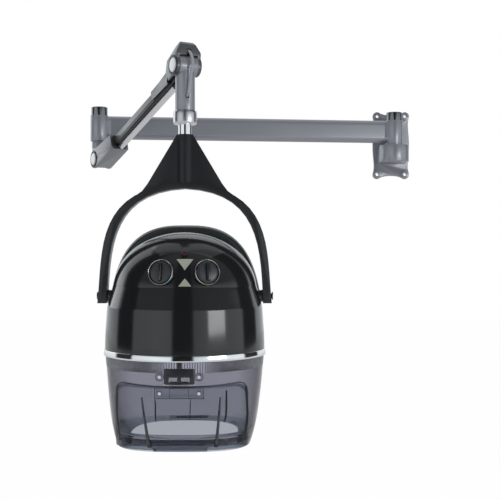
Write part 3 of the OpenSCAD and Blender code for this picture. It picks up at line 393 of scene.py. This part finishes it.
# a softened copy of a CAD node: merged, flat faces joined, edges rounded
softSet = {"merge": 0.00002, "flatAngle": 0.6, "bevelAngle": 32, "segments": 2}
def softCopy(node, name, bevel):
    clearSelection()
    source = frame["nodes"][node]
    source.select_set(True)
    bpy.context.view_layer.objects.active = source
    bpy.ops.object.duplicate()
    piece = bpy.context.object
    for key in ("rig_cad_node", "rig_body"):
        if key in piece:
            del piece[key]
    piece.parent = None
    piece.name = name
    pick(piece)
    editAll()
    bpy.ops.mesh.remove_doubles(threshold=softSet["merge"])
    bpy.ops.mesh.dissolve_limited(angle_limit=math.radians(softSet["flatAngle"]))
    bpy.ops.object.mode_set(mode="OBJECT")
    if bevel:
        applyModifier(piece, "BEVEL", width=bevel, segments=softSet["segments"], limit_method="ANGLE",
                      angle_limit=math.radians(softSet["bevelAngle"]), use_clamp_overlap=True)
    return piece

# traces a line of points from a single vertex, and leaves edit mode on
def traced(name, points):
    clearSelection()
    bpy.ops.mesh.primitive_plane_add(size=0.01, location=(0, 0, 0))
    piece = bpy.context.object
    piece.name = name
    editAll()
    bpy.ops.mesh.merge(type="CENTER")
    bpy.ops.transform.translate(value=points[0])
    for start, end in zip(points, points[1:]):
        bpy.ops.mesh.extrude_region_move(TRANSFORM_OT_translate={"value": Vector(end) - Vector(start)})
    bpy.ops.mesh.select_all(action="SELECT")
    return piece

# spins (radius, height) points round the upright axis at the origin
def lathe(name, outline, degrees, steps):
    piece = traced(name, [(r, 0, z) for r, z in outline])
    bpy.ops.mesh.spin(steps=steps, angle=-math.radians(degrees), center=(0, 0, 0), axis=(0, 0, 1))
    bpy.ops.mesh.select_all(action="SELECT")
    bpy.ops.mesh.remove_doubles(threshold=seamMerge)
    bpy.ops.mesh.normals_make_consistent(inside=False)
    bpy.ops.object.mode_set(mode="OBJECT")
    return piece

def boxPiece(name, center, size, bevel=0.0, segments=2):
    bpy.ops.mesh.primitive_cube_add(size=1, location=center)
    piece = bpy.context.object
    piece.name = name
    piece.scale = size
    pick(piece)
    bpy.ops.object.transform_apply(location=False, rotation=False, scale=True)
    if bevel:
        applyModifier(piece, "BEVEL", width=bevel, segments=segments)
    applyPlace(piece)
    return piece

def discPiece(name, center, turn, radius, thick, bevel, sides):
    bpy.ops.mesh.primitive_cylinder_add(vertices=sides, radius=radius, depth=thick,
                                        rotation=turn, location=center)
    piece = bpy.context.object
    piece.name = name
    applyModifier(piece, "BEVEL", width=bevel, segments=2, limit_method="ANGLE")
    return piece

def cutBy(piece, cutters):
    for cutter in cutters:
        applyModifier(piece, "BOOLEAN", operation="DIFFERENCE", object=cutter, solver="EXACT")
        bpy.data.objects.remove(cutter)

def joined(pieces, name):
    clearSelection()
    for piece in pieces:
        piece.select_set(True)
    bpy.context.view_layer.objects.active = pieces[0]
    bpy.ops.object.join()
    bpy.context.object.name = name
    return bpy.context.object

# points along a curve with four control points
def cubicPoints(controls, steps):
    def at(t):
        u = 1 - t
        return tuple(u ** 3 * a + 3 * t * u * u * b + 3 * t * t * u * c + t ** 3 * d
                     for a, b, c, d in zip(*controls))
    return [at(i / steps) for i in range(steps + 1)]

# the two neighbouring outline points that a height lies between, and the radius there
def outlineAt(points, z):
    for (r1, z1), (r2, z2) in zip(points, points[1:]):
        if z2 <= z <= z1:
            return (r1, z1), (r2, z2), r1 + (r2 - r1) * (z1 - z) / (z1 - z2)
    return None


# pieces that keep their CAD mesh and take a material
plainNodes = {
    "wall_spindle": "brightChrome", "elbow_spindle": "brightChrome", "level_pin_lower": "brightChrome",
    "level_pin_upper": "brightChrome", "lift_pins": "brightChrome", "hinge_pin": "brightChrome",
    "arm_bushes": "bearingPlastic", "post_bush": "bearingPlastic", "power_lead": "leadGrey",
    "yoke_stem": "brightChrome", "inner_dome": "sheetMetal", "heater_frame": "micaBoard",
    "heater_coil": "heatingWire", "fan_deck": "sheetMetal", "fan_motor": "sheetMetal",
    "timer": "fanPlastic", "heat_switch": "bearingPlastic", "thermal_cutout": "whitePlastic",
    "terminal_block": "whitePlastic", "fan_wheel": "fanPlastic", "hinge_screws": "brightChrome",
    "visor_screws": "brightChrome", "balance_strut": "blackRod", "level_rod": "blackRod",
    "bright_tube": "satinTube",
}
for node, look in plainNodes.items():
    setMaterial(frame["nodes"][node], look)
    smoothByAngle(frame["nodes"][node])
print("plain nodes finished")

# nodes that get a softened copy: its finish, the material slot and the width of its rounded edges
softNodes = {
    "wall_plate": ("greyPaint", "grey_paint", 0.0022),
    "arm_tube": ("greyPaint", "grey_paint", 0.0),
    "wall_barrel": ("greyPaint", "grey_paint", 0.0008),
    "elbow_barrel": ("greyPaint", "grey_paint", 0.0008),
    "arm_caps": ("darkChrome", "dark_chrome", 0.0),
    "knuckle": ("greyPaint", "grey_paint", 0.0010),
    "base_casting": ("castPaint", "grey_paint", 0.0012),
    "head_casting": ("railPaint", "grey_paint", 0.0006),
    "pivot_caps": ("whitePlastic", "white_plastic", 0.0006),
    "pivot_rings": ("bearingPlastic", "bearing_plastic", 0.0004),
    "arm_seal": ("bearingPlastic", "bearing_plastic", 0.0009),
    "tube_plug": ("bearingPlastic", "bearing_plastic", 0.0008),
    "head_post": ("greyPaint", "grey_paint", 0.0012),
    "post_collar": ("satinChrome", "bright_chrome", 0.0),
    "yoke": ("yokeBlack", "yoke_black", 0.0020),
    "tilt_bolts": ("darkChrome", "dark_chrome", 0.0010),
    "bowl": ("bowlSmoke", "smoked_clear", 0.0),
    "visor": ("visorSmoke", "smoked_clear", 0.0),
    "indicator_lens": ("lampRed", "lamp_red", 0.0004),
}
bodyOf = {node: body for body, nodes in frame["record"]["behaviour"]["bodies"].items() for node in nodes}
for node, (look, slot, bevel) in softNodes.items():
    finishPiece(softCopy(node, node + "Look", bevel), bodyOf[node], look, (node,))
print("soft nodes finished")


# lift rail: painted above; below the split its skirt is coloured black, painted shade that stands in for the
# shadowed gap along the tube
railSet = {"split": -0.0045, "bevel": 0.0010, "halves": (
    {"name": "liftRailLook", "look": "railPaint", "slot": "grey_paint", "keepLow": False},
    # the lower half's black is painted shade for the gap between rail and tube
    {"name": "liftRailPaintedShade", "look": "bearingPlastic", "slot": "bearing_plastic", "keepLow": True})}
def makeRail():
    onSplit = liftPlace @ Vector((0, 0, railSet["split"]))
    across = liftPlace.to_3x3() @ Vector((0, 0, 1))
    # both copies are made before the first finished one hides the node
    pieces = [softCopy("lift_rail", half["name"], railSet["bevel"]) for half in railSet["halves"]]
    for piece, half in zip(pieces, railSet["halves"]):
        pick(piece)
        editAll()
        bpy.ops.mesh.bisect(plane_co=onSplit, plane_no=across, use_fill=True,
                            clear_inner=not half["keepLow"], clear_outer=half["keepLow"])
        bpy.ops.object.mode_set(mode="OBJECT")
        finishPiece(piece, "lift_arm", half["look"], ("lift_rail",))
makeRail()
print("rail made")


# rear shell: spun, cut flat at the rim, the rim rolled in and closed by a flange behind the front shell
rearSet = {"radius": 0.169, "top": 0.151, "low": -0.110, "crown": 0.021, "cheek": 0.1205, "steps": 72,
           "wall": 0.003, "roll": 0.0112, "rollDeep": 0.022, "rollSteps": 8, "flange": 0.030,
           "cutMerge": 0.000001, "onRim": 0.00001}
airSlots = {"eachSide": 4, "pitch": 0.011, "back": 0.16, "height": 0.070, "size": (0.005, 0.18, 0.060),
            "bevel": 0.0022}
hubSet = {"radius": 0.0128, "thick": 0.014, "inset": 0.029, "bevel": 0.0008, "sides": 48}

# draws the selected rim in from one inset to the next
def shrinkRim(was, now):
    r, tall = rearSet["radius"], rearSet["top"] - rearSet["low"]
    bpy.ops.transform.resize(value=((r - now) / (r - was), 1, (tall - now) / (tall - was)),
                             center_override=(0, 0, rearSet["low"]))

def rollRim(piece):
    roll, deep, turns = rearSet["roll"], rearSet["rollDeep"], rearSet["rollSteps"]
    for vertex in piece.data.vertices:
        vertex.select = abs(vertex.co.y - deep) < rearSet["onRim"]
    for edge in piece.data.edges:
        edge.select = all(piece.data.vertices[v].select for v in edge.vertices)
    bpy.ops.object.mode_set(mode="EDIT")
    for i in range(turns):
        a, b = quarterTurn * i / turns, quarterTurn * (i + 1) / turns
        back = deep * (math.sin(b) - math.sin(a))
        bpy.ops.mesh.extrude_region_move(TRANSFORM_OT_translate={"value": (0, -back, 0)})
        shrinkRim(roll * (1 - math.cos(a)), roll * (1 - math.cos(b)))
    bpy.ops.mesh.extrude_region_move(TRANSFORM_OT_translate={"value": (0, 0, 0)})
    shrinkRim(roll, rearSet["flange"])

def makeRearShell():
    r, top, crown = rearSet["radius"], rearSet["top"], rearSet["crown"]
    outline = [(nearAxis, top)] + cubicPoints(
        [(crown, top), (r - crown, top), (r, top - rearSet["cheek"]), (r, rearSet["low"])], steps=30)
    piece = lathe("rearShellLook", outline, 180, rearSet["steps"])
    editAll()
    bpy.ops.mesh.bisect(plane_co=(0, rearSet["rollDeep"], 0), plane_no=(0, 1, 0), clear_inner=True,
                        use_fill=False, threshold=rearSet["cutMerge"])
    bpy.ops.object.mode_set(mode="OBJECT")
    rollRim(piece)
    bpy.ops.mesh.select_all(action="SELECT")
    bpy.ops.mesh.normals_make_consistent(inside=False)
    bpy.ops.object.mode_set(mode="OBJECT")
    applyModifier(piece, "SOLIDIFY", thickness=rearSet["wall"], offset=-1)
    for i in range(-airSlots["eachSide"], airSlots["eachSide"] + 1):
        center = (i * airSlots["pitch"], airSlots["back"], airSlots["height"])
        cutBy(piece, [boxPiece("cut", center, airSlots["size"], airSlots["bevel"], segments=3)])
    boltLow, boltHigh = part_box("tilt_bolts")
    hubOut = (boltHigh.x - boltLow.x) / 2 - hubSet["inset"]
    hubs = [discPiece("hub", (side * hubOut, 0, 0), (0, quarterTurn, 0), hubSet["radius"], hubSet["thick"],
                      hubSet["bevel"], hubSet["sides"]) for side in (-1, 1)]
    piece = joined([piece] + hubs, "rearShellLook")
    placePiece(piece, hoodPlace)
    finishPiece(piece, "hood", "shellSatin", ("rear_shell",), smooth=40)
makeRearShell()
print("rear shell made")


# front shell: spun, with a soft fold under the panel and a fainter one below it
frontSet = {"top": 0.137, "fold": 0.022, "foldRadius": 0.152, "edge": (0.1640, -0.0195),
            "lip": (0.1647, -0.0230), "foot": (0.169, -0.110), "wall": 0.003, "steps": 96}
def frontOutline():
    top, f, fr = frontSet["top"], frontSet["fold"], frontSet["foldRadius"]
    edge, lip, foot = frontSet["edge"], frontSet["lip"], frontSet["foot"]
    foldTop, foldFoot = (fr, f + 0.003), (fr + 0.0014, f - 0.0030)
    upper = cubicPoints([(nearAxis, top), (fr - 0.062, top), (fr - 0.010, f + 0.063), foldTop], steps=30)
    fold = cubicPoints([foldTop, (fr + 0.0003, f + 0.0005), (fr + 0.0006, f - 0.0005), foldFoot], steps=6)
    slope = cubicPoints([foldFoot, (fr + 0.0050, f - 0.0160), (0.1612, -0.0105), edge], steps=12)
    step = cubicPoints([edge, (0.1644, -0.0210), (0.1645, -0.0215), lip], steps=4)
    wall = cubicPoints([lip, (0.1662, -0.048), (0.1688, -0.080), foot], steps=14)
    return upper + fold[1:] + slope[1:] + step[1:] + wall[1:]

def makeFrontShell():
    piece = lathe("frontShellLook", frontOutline(), 180, frontSet["steps"])
    bpy.ops.transform.rotate(value=math.pi, orient_axis="Z", center_override=(0, 0, 0))
    applyPlace(piece)
    applyModifier(piece, "SOLIDIFY", thickness=frontSet["wall"], offset=-1)
    placePiece(piece, hoodPlace)
    finishPiece(piece, "hood", "shellBlack", ("front_shell",), smooth=50)
makeFrontShell()
print("front shell made")


# a spun piece, set in its place and finished
def turnedPiece(name, outline, steps, place, body, look, nodes=(), smooth=35):
    piece = lathe(name, outline, 360, steps)
    placePiece(piece, place)
    finishPiece(piece, body, look, nodes, smooth)

# trim ring: a narrow band that leans a little, with rounded borders
ringSet = {"steps": 128, "outline": [
    (0.1668, -0.1227), (0.1706, -0.1227), (0.1713, -0.1222), (0.1714, -0.1214), (0.1706, -0.1114),
    (0.1703, -0.1106), (0.1695, -0.1101), (0.1668, -0.1101), (0.1668, -0.1227)]}
turnedPiece("trimRingLook", ringSet["outline"], ringSet["steps"], hoodPlace, "hood", "brightChrome",
            ("trim_ring",), smooth=30)
print("trim ring made")


# controls: seat, ring with painted reflections, dial and grip, each made in its knob's own axes
knobSet = {"ring": 0.0262, "ringIn": 0.0230, "ringHigh": 0.0050, "seat": 0.0120, "dial": 0.0216,
           "grip": (0.0075, 0.036, 0.0105), "gripLift": 0.0030, "gripBevel": 0.0022,
           "seatSteps": 64, "ringSteps": 96, "dialSteps": 72}
def knobPlace(name):
    joint = jointOf[name]
    out = Vector(joint["axis"]).normalized()
    return framed(Vector(joint["pos_m"]), up.cross(out), out)

def makeControls():
    ring, ringIn, dial = knobSet["ring"], knobSet["ringIn"], knobSet["dial"]
    seat, high = knobSet["seat"], knobSet["ringHigh"]
    seatLine = [(nearAxis, -seat), (ring - 0.0006, -seat), (ring - 0.0006, seat - 0.0008),
                (ring - 0.0014, seat), (nearAxis, seat)]
    ringLine = [(ringIn, seat - 0.0002), (ring, seat - 0.0002), (ring, seat + high * 0.45),
                (ring - 0.0006, seat + high * 0.8), (ring - 0.0014, seat + high),
                (ring - 0.0021, seat + high * 0.9), (ringIn, seat + high * 0.45), (ringIn, seat - 0.0002)]
    dialLine = [(nearAxis, seat + 0.0004), (dial, seat + 0.0004), (dial, seat + 0.0034),
                (dial - 0.0008, seat + 0.0044), (dial - 0.0048, seat + 0.0052), (nearAxis, seat + 0.0056)]
    gripCenter = (0, 0, seat + knobSet["gripLift"] + knobSet["grip"][2] / 2)
    for joint, body in (("timer_turn", "timer_knob"), ("heat_turn", "heat_knob")):
        place = knobPlace(joint)
        turnedPiece(body + "Seat", seatLine, knobSet["seatSteps"], place, "hood", "shellBlack")
        # the ring's several tints are painted reflections
        turnedPiece(body + "Ring", ringLine, knobSet["ringSteps"], place, "hood", "paintedReflectionRing",
                    ("knob_bezels",), smooth=50)
        turnedPiece(body + "Dial", dialLine, knobSet["dialSteps"], place, body, "dialGrey",
                    (body,), smooth=50)
        grip = boxPiece(body + "Grip", gripCenter, knobSet["grip"], knobSet["gripBevel"], segments=4)
        placePiece(grip, place)
        finishPiece(grip, body, "knobBlack", (body,), smooth=40)
makeControls()
print("controls made")


# hinge, fixed side: a black body with two windows on a post, and rounded clear tabs under the upper screws
hingeSet = {"body": (0.0600, 0.0090, 0.0310), "bodyDrop": 0.0275, "bodyBevel": 0.0026,
            "window": (0.0172, 0.03, 0.0104), "windowOut": 0.0121, "windowDrop": 0.0338,
            "windowBevel": 0.0012,
            "post": (0.0090, 0.0050, 0.0165), "postDrop": 0.0085, "postBevel": 0.0008}
tabSet = {"radius": 0.0080, "thick": 0.0034, "bevel": 0.0010, "sides": 40, "out": 0.0387, "drop": 0.028,
          "back": 0.0024, "rim": 0.0078, "rimThick": 0.0007, "rimSides": 8, "rimBack": 0.0006}
def makeHinge():
    x, y = hingePin.x, hingePin.y
    windows = [boxPiece("cut", (x + side * hingeSet["windowOut"], y, bowlTop - hingeSet["windowDrop"]),
                        hingeSet["window"], hingeSet["windowBevel"]) for side in (-1, 1)]
    body = boxPiece("hingeLeafLook", (x, y, bowlTop - hingeSet["bodyDrop"]), hingeSet["body"],
                    hingeSet["bodyBevel"], segments=3)
    cutBy(body, windows)
    post = boxPiece("post", (x, y, bowlTop - hingeSet["postDrop"]), hingeSet["post"],
                    hingeSet["postBevel"])
    finishPiece(joined([body, post], "hingeLeafLook"), "hood", "hingeBlack", ("hinge_leaf",))
    facingOut = (quarterTurn, 0, 0)
    for side, label in ((-1, "Left"), (1, "Right")):
        tabX, tabZ = x + side * tabSet["out"], bowlTop - tabSet["drop"]
        tab = discPiece("hingeTab" + label, (tabX, y + tabSet["back"], tabZ), facingOut, tabSet["radius"],
                        tabSet["thick"], tabSet["bevel"], tabSet["sides"])
        finishPiece(tab, "hood", "clearLeaf")
        bpy.ops.mesh.primitive_torus_add(
            major_radius=tabSet["rim"], minor_radius=tabSet["rimThick"], major_segments=tabSet["sides"],
            minor_segments=tabSet["rimSides"], rotation=facingOut,
            location=(tabX, y + tabSet["rimBack"], tabZ))
        rim = bpy.context.object
        rim.name = "hingeTabRim" + label
        finishPiece(rim, "hood", "smokeEdge")
makeHinge()
print("hinge made")

# hinge, visor side: a clear leaf, with the darker edge that it shows all round
leafSet = {"bevel": 0.0006, "front": 0.0012, "high": 0.0495, "low": 0.0705, "half": 0.0484, "edge": 0.0011,
           "edgeThick": 0.0008, "innerOut": 0.0185, "innerEdge": 0.8}
def makeLeaf():
    lower = softCopy("visor_leaf", "visorLeafLook", leafSet["bevel"])
    finishPiece(lower, "visor", "clearLeaf", ("visor_leaf",))
    x, y = hingePin.x, hingePin.y - leafSet["front"]
    low, high, half = bowlTop - leafSet["low"], bowlTop - leafSet["high"], leafSet["half"]
    edge, thick = leafSet["edge"], leafSet["edgeThick"]
    middle, tall = (low + high) / 2, high - low
    bars = [boxPiece("bar", (x, y, z), (2 * half, thick, edge)) for z in (high - edge / 2, low + edge / 2)]
    for out, wide in ((half - edge / 2, edge), (leafSet["innerOut"], edge * leafSet["innerEdge"])):
        bars += [boxPiece("bar", (x + side * out, y, middle), (wide, thick, tall)) for side in (-1, 1)]
    finishPiece(joined(bars, "leafEdge"), "visor", "smokeEdge")
makeLeaf()
print("visor leaf made")


# what shows in the clear bowl: the visor's window and ribs, their bosses, the feet, the back wall's lines
bowlSet = {"profile": [(0.168, 0.0), (0.161, 0.065), (0.159, 0.126), (0.141, 0.177)], "deep": 0.181,
           "roundness": 2, "stripSteps": 14}  # profile in (radius, drop below the ring) pairs
def bowlRadius(z):
    points = cubicPoints([(radius, bowlTop - drop) for radius, drop in bowlSet["profile"]], steps=40)
    span = outlineAt(points, z)
    if span:
        return span[2]
    return points[0][0] if z > points[0][1] else points[-1][0]

# the wall's place in depth at a sideways place x, on the front (side -1) or the back (side 1)
def bowlWallY(x, z, out, side):
    n = bowlSet["roundness"] + ((bowlTop - z) / bowlSet["deep"]) ** 2
    r = bowlRadius(z) + out
    return hoodPivot.y + side * r * max(0.0, 1 - abs(x / r) ** n) ** (1 / n)

# mouldings along the wall: each path is a list of (sideways, drop below the ring) pairs
windowLine = {"wide": 0.0030, "high": 0.0016, "out": 0.0012, "side": -1, "taper": 0.0,
              "body": "visor", "look": "smokeEdge"}
ribLine = {**windowLine, "wide": 0.0032, "high": 0.004, "out": 0.0020, "taper": 1.1}
backLine = {"wide": 0.0034, "high": 0.0016, "out": -0.0040, "side": 1, "taper": 0.0,
            "body": "hood", "look": "smokeLine"}
bowlLines = {
    "windowTop": {**windowLine, "wide": 0.0024, "path": [
        (-0.1180, 0.0450), (-0.0600, 0.0478), (0.0, 0.0488), (0.0600, 0.0478), (0.1180, 0.0450)]},
    "windowCornerLeft": {**windowLine, "path": [(-0.1300, 0.0545), (-0.1265, 0.0485), (-0.1180, 0.0452)]},
    "windowCornerRight": {**windowLine, "path": [(0.1300, 0.0545), (0.1265, 0.0485), (0.1180, 0.0452)]},
    "windowLeft": {**windowLine, "wide": 0.0050, "path": [
        (-0.1300, 0.0540), (-0.1300, 0.1100), (-0.1235, 0.1640)]},
    "windowRight": {**windowLine, "wide": 0.0060, "path": [
        (0.1300, 0.0540), (0.1330, 0.1100), (0.1270, 0.1640)]},
    "visorRibLeft": {**ribLine, "path": [(-0.0760, 0.071), (-0.0722, 0.100), (-0.0622, 0.166)]},
    "visorRibRight": {**ribLine, "path": [(0.0795, 0.071), (0.0775, 0.100), (0.0715, 0.166)]},
    "backLineLeft": {**backLine, "path": [(-0.0770, 0.121), (-0.0770, 0.166)]},
    "backLineMiddle": {**backLine, "wide": 0.0020, "path": [(0.0018, 0.115), (0.0018, 0.160)]},
    "backLineRight": {**backLine, "wide": 0.0044, "path": [(0.0847, 0.099), (0.0847, 0.168)]},
}
def wallStrip(name, line):
    path, wide, steps = line["path"], line["wide"], bowlSet["stripSteps"]
    points = []
    for (x1, d1), (x2, d2) in zip(path, path[1:]):
        for i in range(steps + 1):
            t = i / steps
            x, z = x1 + (x2 - x1) * t, bowlTop - (d1 + (d2 - d1) * t)
            points.append((hoodPivot.x + x, bowlWallY(x, z, line["out"], line["side"]), z))
    piece = traced(name, points)
    upright = abs(path[0][1] - path[-1][1]) > abs(path[0][0] - path[-1][0])
    across = Vector((1, 0, 0)) if upright else Vector((0, 0, 1))
    bpy.ops.mesh.extrude_region_move(TRANSFORM_OT_translate={"value": across * wide})
    bpy.ops.mesh.select_all(action="SELECT")
    bpy.ops.transform.translate(value=across * (-wide / 2))
    bpy.ops.mesh.normals_make_consistent(inside=False)
    bpy.ops.object.mode_set(mode="OBJECT")
    if line["taper"]:
        start, tall = points[0][2], points[0][2] - points[-1][2]
        for vertex in piece.data.vertices:
            near = min(points, key=lambda point: abs(point[2] - vertex.co.z))
            widening = 1 + line["taper"] * (start - near[2]) / tall
            vertex.co.x = near[0] + (vertex.co.x - near[0]) * widening
    applyModifier(piece, "SOLIDIFY", thickness=line["high"], offset=0)
    return piece

# bosses at the foot of the ribs and the small dark feet beside them
ribBoss = {"drop": 0.1665, "size": (0.009, 0.006, 0.011), "out": -0.001, "body": "visor"}
bowlFeet = {
    "ribBossLeft": {**ribBoss, "x": -0.0610},
    "ribBossRight": {**ribBoss, "x": 0.0705},
    "footLeft": {"x": -0.1040, "drop": 0.1625, "size": (0.011, 0.012, 0.012), "out": -0.012, "body": "hood"},
    "footRight": {"x": 0.1200, "drop": 0.1600, "size": (0.020, 0.012, 0.014), "out": -0.012, "body": "hood"},
}
footBevel = 0.0022
def makeBowlDetails():
    for name, line in bowlLines.items():
        finishPiece(wallStrip(name, line), line["body"], line["look"], smooth=50)
    for name, foot in bowlFeet.items():
        x, z = foot["x"], bowlTop - foot["drop"]
        center = (hoodPivot.x + x, bowlWallY(x, z, foot["out"], -1), z)
        piece = boxPiece(name, center, foot["size"], footBevel, segments=3)
        finishPiece(piece, foot["body"], "smokeEdge", smooth=50)
makeBowlDetails()
print("bowl details made")


# panel marks: two plain triangles between the knobs, laid on the front shell
panelSet = {"turn": 3, "across": 0.0016, "lift": 0.0005, "cuts": 8}
marks = {
    "markUpper": {"half": 0.0170, "high": 0.0225, "z": 0.0685, "point": -1},
    "markLower": {"half": 0.0130, "high": 0.0160, "z": 0.0335, "point": 1},
}
def panelPlace(z):
    # the front shell's radius and lean at a height above the tilt axis give the place
    (r1, z1), (r2, z2), radius = outlineAt(frontOutline(), z)
    lean, turn = math.atan2(r2 - r1, z1 - z2), math.radians(panelSet["turn"])
    out = Vector((math.sin(turn) * math.cos(lean), -math.cos(turn) * math.cos(lean), math.sin(lean)))
    across = Vector((math.cos(turn), math.sin(turn), 0))
    onShell = Vector((math.sin(turn) * radius, -math.cos(turn) * radius, z))
    return framed(hoodPivot + onShell + across * panelSet["across"], across, out), lean

def makeMarks():
    for name, mark in marks.items():
        place, lean = panelPlace(mark["z"])
        half, tip = mark["half"], mark["point"] * mark["high"] / math.cos(lean) / 2
        piece = traced(name, [(-half, -tip, 0), (half, -tip, 0), (0, tip, 0)])
        bpy.ops.mesh.edge_face_add()
        bpy.ops.mesh.select_all(action="SELECT")
        bpy.ops.mesh.subdivide(number_cuts=panelSet["cuts"])
        bpy.ops.object.mode_set(mode="OBJECT")
        placePiece(piece, place)
        applyModifier(piece, "SHRINKWRAP", target=bpy.data.objects["frontShellLook"],
                      wrap_method="NEAREST_SURFACEPOINT", wrap_mode="ABOVE_SURFACE", offset=panelSet["lift"])
        finishPiece(piece, "hood", "markBeige", smooth=60)
makeMarks()
print("marks made")


# floor: plain white to the camera, dimmer in reflections
floorSet = {"size": 30, "place": (-0.4, 2.0, -1.7), "color": 0.50, "rough": 0.9, "shiny": 0.48, "glow": 0.985}
def makeFloor():
    bpy.ops.mesh.primitive_plane_add(size=floorSet["size"], location=floorSet["place"])
    floor = bpy.context.object
    floor.name = "studioFloor"
    material, nodes, links, shader = newMaterial("studioFloor")
    setInputs(shader, {"Base Color": (*[floorSet["color"]] * 3, 1), "Roughness": floorSet["rough"]})
    glow = nodes.new("ShaderNodeEmission")
    path = nodes.new("ShaderNodeLightPath")
    dimmed = mathNode(nodes, links, "MULTIPLY", path.outputs["Is Glossy Ray"], floorSet["shiny"])
    either = mathNode(nodes, links, "MAXIMUM", path.outputs["Is Camera Ray"], dimmed)
    either = mathNode(nodes, links, "MAXIMUM", either, path.outputs["Is Transmission Ray"])
    share = mathNode(nodes, links, "MULTIPLY", either, floorSet["glow"])
    mixed = mixShaders(nodes, links, share, shader.outputs[0], glow.outputs[0])
    links.new(mixed, nodes["Material Output"].inputs["Surface"])
    floor.data.materials.append(material)

# world: white to the camera, a soft room for plain surfaces, upright dark bands for shiny ones
worldSet = {
    "room": (0.96, 0.98, 1.0), "roomPower": 0.80, "whitePower": 1.0, "shineTint": (0.90, 0.97, 1.0),
    "ceilingFrom": 0.20, "ceilingEdge": 6.0, "ceilingDark": 0.74, "aheadUntil": 0.82, "aheadEdge": 2.8,
    "bands": [  # (share of the turn, brightness), with the camera's side at 0.5
        (0.0, 1.0), (0.10, 0.9), (0.19, 0.9), (0.205, 0.03), (0.285, 0.03), (0.295, 0.8), (0.40, 1.0),
        (0.455, 0.9), (0.463, 0.015), (0.538, 0.015), (0.547, 0.7), (0.60, 0.9), (0.76, 0.95),
        (0.772, 0.03), (0.85, 0.03), (0.862, 0.9), (0.93, 0.9), (1.0, 1.0)],
}
def makeWorld():
    world = bpy.data.worlds.new("studioWorld")
    bpy.context.scene.world = world
    world.use_nodes = True
    nodes, links = world.node_tree.nodes, world.node_tree.links
    room = nodes["Background"]
    setInputs(room, {"Color": (*worldSet["room"], 1), "Strength": worldSet["roomPower"]})
    white = nodes.new("ShaderNodeBackground")
    setInputs(white, {"Color": (1, 1, 1, 1), "Strength": worldSet["whitePower"]})
    path = nodes.new("ShaderNodeLightPath")
    seen = mathNode(nodes, links, "MAXIMUM", path.outputs["Is Camera Ray"],
                    path.outputs["Is Transmission Ray"])
    plain = mixShaders(nodes, links, seen, room.outputs[0], white.outputs[0])
    coord = nodes.new("ShaderNodeTexCoord")
    split = nodes.new("ShaderNodeSeparateXYZ")
    links.new(coord.outputs["Generated"], split.inputs[0])
    ahead = mathNode(nodes, links, "MULTIPLY", split.outputs["Y"], -1)
    turn = mathNode(nodes, links, "ARCTAN2", split.outputs["X"], ahead)
    share = mathNode(nodes, links, "ADD", mathNode(nodes, links, "DIVIDE", turn, 2 * math.pi), 0.5)
    bands = rampNode(nodes, links, share, [
        (place, [level * tint for tint in worldSet["shineTint"]]) for place, level in worldSet["bands"]])
    # the ceiling in front stays dark, the wall behind is bright
    above = mathNode(nodes, links, "SUBTRACT", split.outputs["Z"], worldSet["ceilingFrom"])
    above = mathNode(nodes, links, "MULTIPLY", above, worldSet["ceilingEdge"], clamp=True)
    front = mathNode(nodes, links, "SUBTRACT", worldSet["aheadUntil"], split.outputs["Y"])
    front = mathNode(nodes, links, "MULTIPLY", front, worldSet["aheadEdge"], clamp=True)
    both = mathNode(nodes, links, "MULTIPLY", above, front)
    dark = mathNode(nodes, links, "MULTIPLY", both, worldSet["ceilingDark"])
    bright = mathNode(nodes, links, "SUBTRACT", 1.0, dark)
    shiny = nodes.new("ShaderNodeBackground")
    links.new(scaledColor(nodes, links, bands, bright), shiny.inputs["Color"])
    last = mixShaders(nodes, links, path.outputs["Is Glossy Ray"], plain, shiny.outputs[0])
    links.new(last, nodes["World Output"].inputs["Surface"])

# soft boxes: places and aims in metres, power in watts
lamps = {
    "keyBox": {"place": (-2.45, 0.80, 1.0), "aim": (-0.6, -0.4, -0.1), "size": (1.4, 2.6), "power": 9},
    "fillBox": {"place": (1.15, -2.10, -0.18), "aim": (-0.53, -0.61, -0.40), "size": (1.0, 0.50), "power": 8},
    "topBox": {"place": (-0.4, 0.6, 2.8), "aim": (-0.4, -0.5, -0.3), "size": (4.0, 3.0), "power": 13},
}
def makeLamps():
    for name, lamp in lamps.items():
        place = Vector(lamp["place"])
        turn = (Vector(lamp["aim"]) - place).to_track_quat("-Z", "Y").to_euler()
        bpy.ops.object.light_add(type="AREA", location=place, rotation=turn)
        light = bpy.context.object
        light.name = name
        light.data.shape = "RECTANGLE"
        light.data.size, light.data.size_y = lamp["size"]
        light.data.energy = lamp["power"]

makeFloor()
makeWorld()
makeLamps()
bpy.context.scene.view_settings.view_transform = "Standard"
print("studio set")
